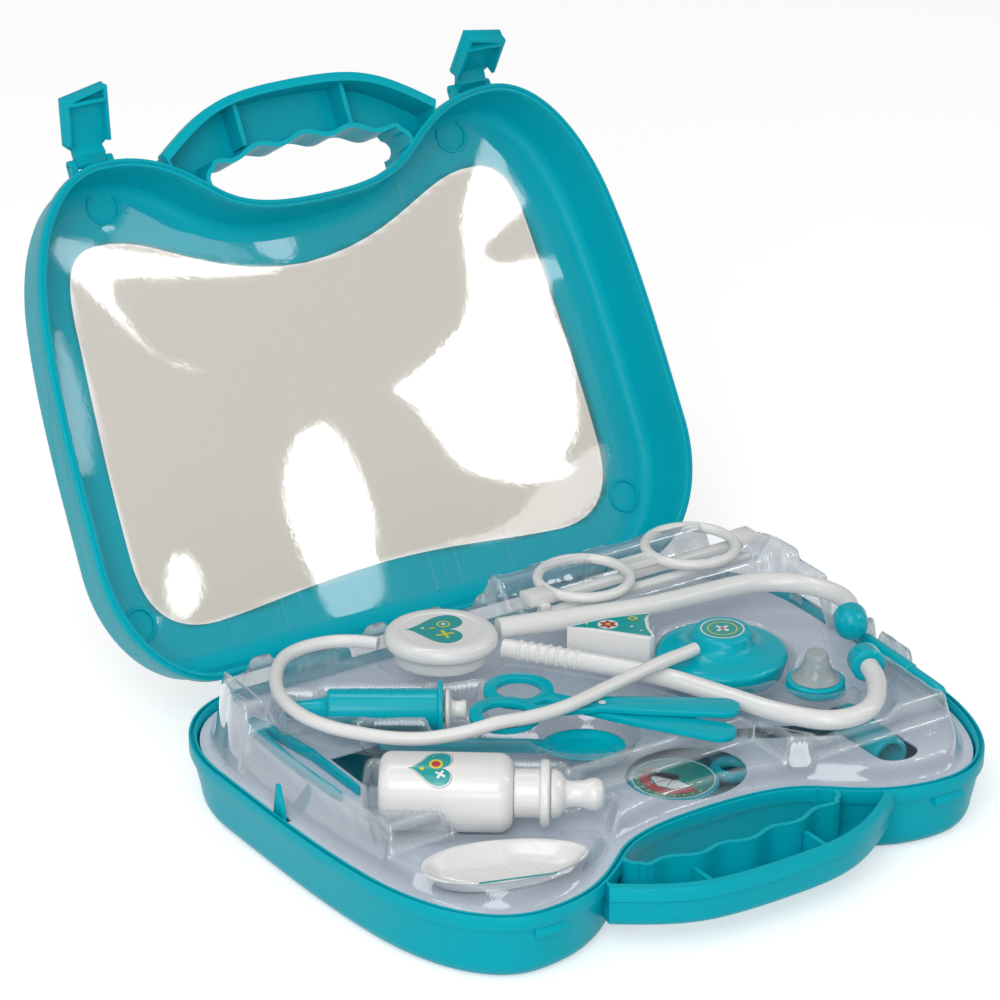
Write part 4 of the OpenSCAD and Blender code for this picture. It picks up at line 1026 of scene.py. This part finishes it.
def lathe(name, profile, at, axis=(0, 0, 1), sides=64, square=2.0):  # (radius, height) pairs turned about an axis through a point
    axis = np.array(axis, float) / np.linalg.norm(axis)
    side = np.cross(axis, [0, 0, 1.0]) if abs(axis[2]) < 0.9 else np.array([1.0, 0, 0])
    side /= np.linalg.norm(side)
    other = np.cross(axis, side)
    a = np.linspace(0, 2 * math.pi, sides, endpoint=False)
    c, s = (np.sign(v) * np.abs(v) ** (2 / square) for v in (np.cos(a), np.sin(a)))
    return loft(name, [np.array(at) + h * axis + max(r, 0.02) * (c[:, None] * side + s[:, None] * other) for r, h in profile])


def soft(profile, r=0.5, steps=3):  # a profile with its corners cut round
    p = np.array(profile, float)
    out = [p[0]]
    for a, b, c in zip(p, p[1:], p[2:]):
        da, dc = np.linalg.norm(a - b), np.linalg.norm(c - b)
        k = min(r, 0.45 * da, 0.45 * dc)
        q0, q1 = b + (a - b) / da * k, b + (c - b) / dc * k
        out += [(1 - t) ** 2 * q0 + 2 * (1 - t) * t * b + t * t * q1 for t in np.linspace(0, 1, steps + 1)]
    return out + [p[-1]]


def ridgeTree():  # equal ridges along a straight line, each a short rounded bar
    t = bpy.data.node_groups.new("ridgeRow", "GeometryNodeTree")
    add = lambda label, kind, side="INPUT": t.interface.new_socket(name=label, in_out=side, socket_type=kind)
    add("Geometry", "NodeSocketGeometry", "OUTPUT")
    add("Geometry", "NodeSocketGeometry")
    for label, kind in (("Count", "NodeSocketInt"), ("Start", "NodeSocketVector"), ("End", "NodeSocketVector"), ("Arch Radius", "NodeSocketFloat"), ("Arch Sweep", "NodeSocketFloat"),
                        ("Ridge Width", "NodeSocketFloat"), ("Tilt", "NodeSocketVector"), ("Finish", "NodeSocketMaterial"), ("Every Second", "NodeSocketFloat")):
        add(label, kind)
    n, link = t.nodes.new, t.links.new
    gi, go = n("NodeGroupInput"), n("NodeGroupOutput")
    row = n("GeometryNodeMeshLine")
    row.mode, row.count_mode = "END_POINTS", "TOTAL"
    link(gi.outputs["Count"], row.inputs["Count"])
    link(gi.outputs["Start"], row.inputs["Start Location"])
    link(gi.outputs["End"], row.inputs["Offset"])
    arc = n("GeometryNodeCurveArc")
    arc.inputs["Resolution"].default_value = 20
    link(gi.outputs["Arch Radius"], arc.inputs["Radius"])
    link(gi.outputs["Arch Sweep"], arc.inputs["Sweep Angle"])
    half = n("ShaderNodeMath")
    half.operation = "MULTIPLY_ADD"
    half.inputs[1].default_value, half.inputs[2].default_value = -0.5, math.pi / 2
    link(gi.outputs["Arch Sweep"], half.inputs[0])
    link(half.outputs[0], arc.inputs["Start Angle"])
    wire = n("GeometryNodeCurvePrimitiveCircle")
    wire.inputs["Resolution"].default_value = 10
    link(gi.outputs["Ridge Width"], wire.inputs["Radius"])
    bar = n("GeometryNodeCurveToMesh")
    bar.inputs["Fill Caps"].default_value = True
    link(arc.outputs["Curve"], bar.inputs["Curve"])
    link(wire.outputs["Curve"], bar.inputs["Profile Curve"])
    onto = n("GeometryNodeInstanceOnPoints")
    link(row.outputs["Mesh"], onto.inputs["Points"])
    link(bar.outputs["Mesh"], onto.inputs["Instance"])
    link(gi.outputs["Tilt"], onto.inputs["Rotation"])
    index = n("GeometryNodeInputIndex")
    odd = n("ShaderNodeMath")
    odd.operation = "MODULO"
    odd.inputs[1].default_value = 2.0
    link(index.outputs[0], odd.inputs[0])
    size = n("ShaderNodeMath")
    size.operation = "MULTIPLY_ADD"
    size.inputs[2].default_value = 1.0
    link(odd.outputs[0], size.inputs[0])
    link(gi.outputs["Every Second"], size.inputs[1])
    scale = n("ShaderNodeCombineXYZ")
    scale.inputs[1].default_value = scale.inputs[2].default_value = 1.0
    link(size.outputs[0], scale.inputs[0])
    link(scale.outputs[0], onto.inputs["Scale"])
    real = n("GeometryNodeRealizeInstances")
    link(onto.outputs[0], real.inputs[0])
    paint = n("GeometryNodeSetMaterial")
    link(real.outputs[0], paint.inputs[0])
    link(gi.outputs["Finish"], paint.inputs["Material"])
    link(paint.outputs[0], go.inputs[0])
    return t


ridgeRow = ridgeTree()


def makeRidges(name, look, **values):
    mesh = bpy.data.meshes.new(name)
    ob = newPiece(name, mesh)
    m = ob.modifiers.new("ridges", "NODES")
    m.node_group = ridgeRow
    ids = {s.name: s.identifier for s in ridgeRow.interface.items_tree if s.item_type == "SOCKET" and s.in_out == "INPUT"}
    for label, value in values.items():
        m[ids[label.replace("_", " ")]] = value
    m[ids["Finish"]] = materials[look]
    bakeMesh(ob)
    smooth(ob.data)
    return ob


# ---------- stethoscope ----------
steth = {"hubRadius": 22.5, "hubTop": 56.5, "rearRadius": 4.5, "frontRadius": 3.95, "tubeRadius": 2.75, "strainRidges": 7}
tubeLine = [(-53.2, -31, 50.6), (-59, -24.5, 50.4), (-66, -19, 50), (-74, -16.5, 49.7), (-82, -16.5, 49.6), (-90, -19.5, 49.6), (-97, -26, 49.6), (-103, -34.5, 49.6), (-107.5, -44, 49.6), (-110, -54, 49.6),
            (-110.5, -64, 49.6), (-109, -74, 49.6), (-105, -84, 49.6), (-99, -93, 49.6), (-92, -101.5, 49.6), (-83, -109, 49.8), (-74, -115, 51.2), (-65, -119.5, 53), (-55, -123, 55.1), (-45, -125.5, 55.2),
            (-35, -126.5, 55.2), (-25, -126, 55.2), (-15, -124, 55.1), (-5, -121.5, 55), (5, -119, 54.8), (14, -117, 54.7), (23, -115, 54.7), (32, -113.2, 54.6), (40, -111.8, 54.2), (47.5, -110.2, 54)]


def buildTube():
    line = flowing(tubeLine, 5)
    curve = bpy.data.curves.new("freeTube", "CURVE")
    curve.dimensions, curve.bevel_depth, curve.bevel_resolution, curve.use_fill_caps = "3D", steth["tubeRadius"] / 1000, 5, True
    spline = curve.splines.new("POLY")
    spline.points.add(len(line) - 1)
    for pt, q in zip(spline.points, line):
        pt.co = (*place(q), 1)
    spline.use_smooth = True
    tube = newPiece("freeTube", curve)
    curve.materials.append(materials["whiteSoft"])
    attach(tube, bodyOf["steth_tube"])
    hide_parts("steth_tube")
    return tube


def buildHub():
    r, top = steth["hubRadius"], steth["hubTop"]
    ring = lambda k, z: np.column_stack([eggOutline(k, 96), np.full(96, z)])
    upper = soft([(r - 6, 50.1), (r - 0.5, 50.1), (r + 0.1, 52.6), (r - 0.9, 55.4), (r - 3.2, top), (r - 6.4, top), (r - 6.8, top - 0.35), (4, top - 0.35)], 1.1, 4)
    cap = loft("hubCap", [ring(k, z) for k, z in upper])
    smooth(cap.data, 50)
    dress(cap, "whiteTool", "hub_upper")
    foot = loft("hubFoot", [ring(k, z) for k, z in soft([(6, 43), (r - 5, 43), (r - 4, 44), (r - 3.4, 49.8), (6, 49.8)], 0.6)])
    smooth(foot.data, 50)
    dress(foot, "whiteTool", "hub_lower")


def buildArms():
    back = flowing([(x, y, 51.5) for x, y in rearArm], 6)
    front = flowing(frontArm, 6)
    hubEdge = eggOutline(steth["hubRadius"] + 0.3)
    back, front = (q[toPolygon(q[:, :2], hubEdge) > 0] for q in (back, front))
    rear = sweep("rearArm", back, np.linspace(steth["rearRadius"], steth["rearRadius"] - 0.5, len(back)))
    fore = sweep("frontArm", front, steth["frontRadius"])
    at = np.interp(np.array([8.0, 31.0]), np.r_[0, np.cumsum(np.linalg.norm(np.diff(front, axis=0), axis=1))], np.arange(len(front)))
    a, b = (front[int(round(i))] for i in at)
    turn = math.atan2(b[1] - a[1], b[0] - a[0])
    ridges = makeRidges("strainRidges", "whiteSoft", Count=steth["strainRidges"], Start=place(a), End=place(b), Arch_Radius=(steth["frontRadius"] - 0.15) / 1000, Arch_Sweep=math.radians(250),
                        Ridge_Width=0.00085, Tilt=Vector((math.pi / 2, 0, turn + math.pi / 2)), Every_Second=0.0)
    fore = join("frontArm", [fore, ridges])
    for ob, n in ((rear, "arm_rear"), (fore, "arm_front")):
        smooth(ob.data, 50)
        dress(ob, "whiteTool", n)
    for name, a, b in (("ear_tip_rear", (122.7, -114.5, 50.4), (117, -123.5, 50.4)), ("ear_tip_front", (102.2, -153.6, 49.4), (106, -143.5, 49.4))):
        axis = np.array(b) - a
        bulb = [(2, 0.1), (6.2, 0.1), (7, 0.9), (7, 7)] + [(7 * math.cos(w), 7 + 5.25 * math.sin(w)) for w in np.radians([15, 30, 45, 60, 75, 88])]
        tip = lathe("earTip" + name[8:].capitalize(), bulb, a, axis, 40)
        smooth(tip.data, 40)
        dress(tip, "tealTool", name)


buildTube()
buildHub()
buildArms()
print("stethoscope made")

# ---------- bottle, dish and small tools ----------
def alongBottle(h, up=0.0):  # a point on the bottle's axis
    t = math.radians(bottle["turn"])
    return np.array([bottle["at"][0] + h * math.cos(t), bottle["at"][1] + h * math.sin(t), bottle["height"] + up])


def buildBottle():
    axis = alongBottle(1) - alongBottle(0)
    r, l = bottle["radius"], bottle["length"]
    base = [(r - 4.6 + 4.6 * math.sin(w), 4.6 - 4.6 * math.cos(w)) for w in np.radians(np.arange(15, 91, 12.5))]
    neck = [(r - 5 + 5 * math.cos(w), l - 6 + 6 * math.sin(w)) for w in np.radians(np.arange(0, 91, 12.5))]
    parts = {
        "bottleBody": ("bottle_body", [(r * 0.5, 0.3), (r * 0.6, 0)] + base + neck + [(r * 0.6, l)], 2.5),
        "bottleCollar": ("bottle_collar", soft([(2, 51.1), (9, 51.1), (9.4, 51.7), (9.4, 60.4), (9.9, 61), (12.4, 61.1), (13, 61.8), (13, 63.9), (12.4, 64.6), (10, 64.9), (2, 64.9)], 0.5), 2.0),
        "bottleNozzle": ("bottle_nozzle", soft([(2, 65), (9.6, 65), (9.4, 67), (8.2, 69), (6.6, 70.2), (5.4, 71), (5, 73), (5.2, 77), (6.2, 80), (6.4, 82.4), (5.2, 84.6), (3, 85.6), (0.5, 85.8)], 1.6, 4), 2.0),
    }
    for name, (n, profile, square) in parts.items():
        ob = lathe(name, profile, alongBottle(0), axis, 96, square)
        smooth(ob.data, 40)
        dress(ob, "whiteTool", n)


def buildDish():
    turn = math.radians(-18)

    def oval(a, b, z):
        t = np.radians(np.arange(0, 360, 4))
        x, y = a * np.cos(t), b * np.sin(t) * (1 - 0.12 * np.cos(t))
        return np.column_stack([-92 + x * math.cos(turn) - y * math.sin(turn), -184 + x * math.sin(turn) + y * math.cos(turn), np.full(len(t), 27.3 + z)])
    outer = soft([(23, 8.4, 0), (24, 9, 0), (27, 11.5, 1.5), (31, 14.5, 6.2), (32, 15.4, 7.0), (32, 15.4, 7.6), (30.6, 14.1, 7.6), (29.6, 13.3, 7), (26, 10.6, 3), (22, 7.5, 1.42), (20, 6, 1.42)], 1.2, 4)
    dish = loft("dish", [oval(*q) for q in outer])
    smooth(dish.data, 50)
    dress(dish, "whiteTool", "dish")


def buildTurned():  # chest piece, otoscope, hammer and pen
    chest = soft([(2, 38), (24, 38), (25.2, 39), (27.1, 46.3), (25.6, 48), (24, 48.6), (19, 49.2), (15.4, 50.4), (13.4, 52.2), (12.6, 54.4), (12.2, 56), (11, 57), (2, 57)], 1.0, 4)
    disc = soft([(2, 40), (11.5, 40), (12, 40.6), (12, 42), (11.3, 42.3), (11.3, 43), (11.8, 43.3), (11.8, 44.2), (10.8, 44.6), (2, 44.6)], 0.4)
    cone = soft([(2, 44.7), (10.4, 44.7), (8.2, 46.4), (6.4, 49), (5.2, 52), (4.6, 55.2), (4.1, 56.4), (1, 56.4)], 1.1, 4)
    tube = soft([(0.5, 0), (7.4, 0), (8, 0.6), (8, 34.4), (7.4, 35), (5.6, 35), (5.6, 24), (0.5, 24)], 0.5)
    t = math.radians(-96.5)
    for name, n, look, profile, at, axis in (("chestPiece", "chest_piece", "tealTool", chest, (*chestAt, 0), (0, 0, 1)), ("otoDisc", "oto_disc", "tealTool", disc, (*scopeAt, 0), (0, 0, 1)),
                                             ("otoCone", "oto_cone", "smokeClear", cone, (*scopeAt, 0), (0, 0, 1)), ("hammerHead", "hammer_head", "tealTool", tube, (96, -147, 24), (math.cos(t), math.sin(t), 0))):
        ob = lathe(name, profile, at, axis, 96)
        smooth(ob.data, 40)
        dress(ob, look, n)
    pen = sweep("penStick", [(129.4, -110, 39.6), (129.1, -114, 39.6), (128.8, -118, 39.6), (128.7, -118.4, 39.6), (127.6, -134, 39.6), (126.6, -150, 39.6), (126.5, -150.5, 39.6), (125.6, -163, 39.6), (125, -171, 39.6), (124.9, -173, 39.6)],
                [2.2, 2.45, 2.5, 3.2, 3.2, 3.2, 2.6, 2.55, 2.4, 1.6])
    smooth(pen.data, 40)
    dress(pen, "tealTool", "pen_stick")


def heart(s):
    a = -np.radians(np.arange(0, 360, 5))
    return np.column_stack([s * (13 * np.cos(a) - 5 * np.cos(2 * a) - 2 * np.cos(3 * a) - np.cos(4 * a)) / 16, s * np.sin(a) ** 3])


def disc2d(r, at=(0, 0)):
    a = -np.radians(np.arange(0, 360, 12))
    return np.column_stack([at[0] + r * np.cos(a), at[1] + r * np.sin(a)])


def plus2d(r, w, at=(0, 0), turn=0.0):
    q = np.array([(w, w), (w, r), (-w, r), (-w, w), (-r, w), (-r, -w), (-w, -w), (-w, -r), (w, -r), (w, -w), (r, -w), (r, w)], float)
    c, s = math.cos(math.radians(turn)), math.sin(math.radians(turn))
    return np.column_stack([at[0] + q[:, 0] * c - q[:, 1] * s, at[1] + q[:, 0] * s + q[:, 1] * c])


def leaf2d(l, w, at=(0, 0), turn=0.0):
    t = np.linspace(-1, 1, 9)
    q = np.vstack([np.column_stack([l * t, w * (1 - t ** 2)]), np.column_stack([l * t[::-1], -w * (1 - t[::-1] ** 2)])[1:-1]])
    c, s = math.cos(math.radians(turn)), math.sin(math.radians(turn))
    return np.column_stack([at[0] + q[:, 0] * c - q[:, 1] * s, at[1] + q[:, 0] * s + q[:, 1] * c])


def label(name, layers, onto, *nodes):  # printed layers laid on a surface, each a fan of rings about its middle
    points, faces, ink, looks = [], [], [], []
    for order, (look, outline, *level) in enumerate(layers):
        lift = 0.04 + 0.025 * (level[0] if level else order)
        if look not in looks:
            looks.append(look)
        mid, n = outline.mean(0), len(outline)
        start = len(points)
        for k in (1, 0.75, 0.5, 0.25):
            points += [place(onto(*(mid + (q - mid) * k), lift)) for q in outline]
        points.append(place(onto(*mid, lift)))
        for ring in range(3):
            for i in range(n):
                j = (i + 1) % n
                a = start + ring * n
                faces.append((a + i, a + j, a + n + j, a + n + i))
        a = start + 3 * n
        faces += [(a + i, a + (i + 1) % n, start + 4 * n) for i in range(n)]
        ink += [looks.index(look)] * (len(faces) - len(ink))
    mesh = bpy.data.meshes.new(name)
    mesh.from_pydata(points, [], faces)
    ob = newPiece(name, mesh)
    dress(ob, looks, *nodes)
    mesh.polygons.foreach_set("material_index", np.array(ink, np.int32))
    smooth(mesh, 60)
    return ob


def flatPlace(x, y, z, turn):
    c, s = math.cos(math.radians(turn)), math.sin(math.radians(turn))
    return lambda u, v, lift: (x + u * c - v * s, y + u * s + v * c, z + lift)


def roundBottle(u, v, lift):  # u along the bottle from the label's middle, v around it
    axis = alongBottle(1) - alongBottle(0)
    side = np.array([axis[1], -axis[0], 0])
    w = math.radians(22) + v / bottle["radius"]
    c, s = math.sin(w), math.cos(w)
    c, s = (np.sign(q) * abs(q) ** 0.8 for q in (c, s))
    r = bottle["radius"] + lift
    return alongBottle(21 + u) + r * (c * side + s * np.array([0, 0, 1.0]))


def buildLabels():
    label("hubLabel", [("inkWhite", heart(13.9)), ("inkTeal", heart(13.0) + [0.1, 0]), ("inkYellow", plus2d(3.8, 0.65, (2.7, -4.6), 20)), ("inkYellow", disc2d(2.8, (2.0, 4.4))), ("inkTeal", disc2d(2.1, (2.0, 4.4))),
                       ("inkWhite", disc2d(0.9, (2.0, 4.4))), ("inkWhite", disc2d(0.7, (-6.4, 0.7))), ("inkYellow", leaf2d(1.8, 0.5, (-2.6, 0.4), 15))], flatPlace(-31.8, -42.8, steth["hubTop"] - 0.35, -32), "hub_sticker")
    label("bottleLabel", [("inkDark", heart(9.5)), ("inkWhite", heart(9.2)), ("inkTeal", heart(8.7)), ("inkYellow", disc2d(2.6, (0.8, -2.2))), ("inkRed", disc2d(1.7, (0.8, -2.2))), ("inkWhite", plus2d(2.1, 0.5, (2.6, 3.2), 30)),
                          ("inkYellow", disc2d(0.9, (-4.4, 0.4))), ("inkWhite", disc2d(0.5, (5.6, -0.2)))], roundBottle, "bottle_sticker")
    rim = inset(np.array(badgeOutline, float), 0.75)
    field = inset(rim, 0.9)
    petals = [("inkWhite", disc2d(4.2, (29.8, -74.2)))] + [("inkRed", leaf2d(1.9, 1.0, (29.8 + 2.0 * math.cos(math.radians(w)), -74.2 + 2.0 * math.sin(math.radians(w))), w)) for w in range(0, 360, 60)] + [("inkYellow", disc2d(1.0, (29.8, -74.2)))]
    label("badgeLabel", [("inkWhite", rim), ("inkTeal", field)] + petals + [("inkYellow", disc2d(2.0, (41.2, -75.4))), ("inkTeal", disc2d(1.1, (41.2, -75.4))), ("inkWhite", disc2d(0.6, (36.5, -81.5))), ("inkWhite", disc2d(0.5, (37.6, -86.5))),
                                                                ("inkWhite", disc2d(0.5, (22.5, -69.6)))], flatPlace(0, 0, 54.8, 0), "badge_sticker", "badge_motif", "badge_dot")
    label("chestLabel", [("inkWhite", disc2d(9)), ("inkTeal", disc2d(8.4)), ("inkYellow", disc2d(6.2)), ("inkTeal", disc2d(5.7)), ("inkWhite", plus2d(3.2, 0.7, (0, 0), 15)), ("inkRed", disc2d(0.9, (0, 0)))], flatPlace(*chestAt, 57.0, 0), "chest_sticker")
    x, y, r = gauge["at"][0], gauge["at"][1], gauge["face"]
    arc = lambda a, b, r0, r1: np.array([(x + q * math.cos(w), y + q * math.sin(w)) for q, steps in ((r0, (a, (a + b) / 2, b)), (r1, (b, (a + b) / 2, a))) for w in np.radians(steps)])
    dial = [("inkWhite", disc2d(r, (x, y))), ("inkGreen", disc2d(r - 0.5, (x, y))), ("inkWhite", arc(100, 190, 0.4, r * 0.53)), ("inkWhite", arc(190, 280, 0.4, r * 0.53), 3)]
    dial += [("inkRed", arc(a, a + 30.5, r * 0.55, r * 0.8), 4) for a in range(100, 280, 30)]
    dial += [("inkYellow", arc(a, a + 2.5, r * 0.82, r * 0.9), 2) for a in range(100, 281, 15)]
    dial += [("inkDark", leaf2d(r * 0.22, 0.18, (x + r * 0.3 * math.cos(math.radians(a)), y + r * 0.3 * math.sin(math.radians(a))), a), 5) for a in (130, 175, 215)]
    label("gaugeLabel", dial, flatPlace(0, 0, gauge["top"], 0), "gauge_face", "gauge_arc")


def buildMarks():  # raised scale on the syringe
    s = syringe
    t = math.radians(s["turn"])
    along = np.array([math.cos(t), math.sin(t), 0])
    at = lambda h: place(np.array([*s["at"], s["height"]]) + along * h)
    marks = makeRidges("syringeMarks", "tealTool", Count=11, Start=at(8.3), End=at(36.3), Arch_Radius=(s["radius"] - 0.02) / 1000, Arch_Sweep=math.radians(20),
                       Ridge_Width=0.00045, Tilt=Vector((math.pi / 2, 0, t + math.pi / 2)), Every_Second=0.0)
    dress(marks, "tealTool", "syringe_marks")


buildBottle()
buildDish()
buildTurned()
buildLabels()
buildMarks()
print("bottle, dish, tools and labels made")

softened = {  # look, edge rounding in millimetres
    "latch_left": ("tealShell", 0.35), "latch_right": ("tealShell", 0.35),
    "hinge_pin_left": ("tealShell", 0.2), "hinge_pin_right": ("tealShell", 0.2),
    "latch_pin_left": ("tealShell", 0.2), "latch_pin_right": ("tealShell", 0.2),
    "scissor_half_a": ("tealTool", 0.5), "scissor_half_b": ("tealTool", 0.5), "scissor_pin": ("whiteTool", 0.3),
    "temple_left": ("whiteTool", 0.6), "temple_right": ("whiteTool", 0.6), "glasses_rims": ("whiteTool", 0.35),
    "badge_block": ("whiteTool", 0.7), "tweezers": ("tealTool", 0.4), "spoon": ("tealTool", 0.4),
    "syringe_barrel": ("tealTool", 0.2), "syringe_plunger": ("whiteTool", 0.25),
    "gauge_body": ("tealTool", 0.3), "gauge_loop": ("tealTool", 0.2), "gauge_needle": ("needleBlack", 0.1),
}
for key, v in softened.items():
    softenNode(key, *v)
print("moulded pieces rounded over:", len(softened))

kept = {  # CAD nodes that only need a finish
    "coatedCard": ["insert_card"], "tealShell": ["base_ribs"], "tealTool": ["hammer_handle"],
    "inkTeal": ["dish_label"],
}
for key, group in kept.items():
    for n in group:
        mesh = frame["nodes"][n].data
        mesh.materials.clear()
        mesh.materials.append(materials[key])
print("CAD pieces finished")
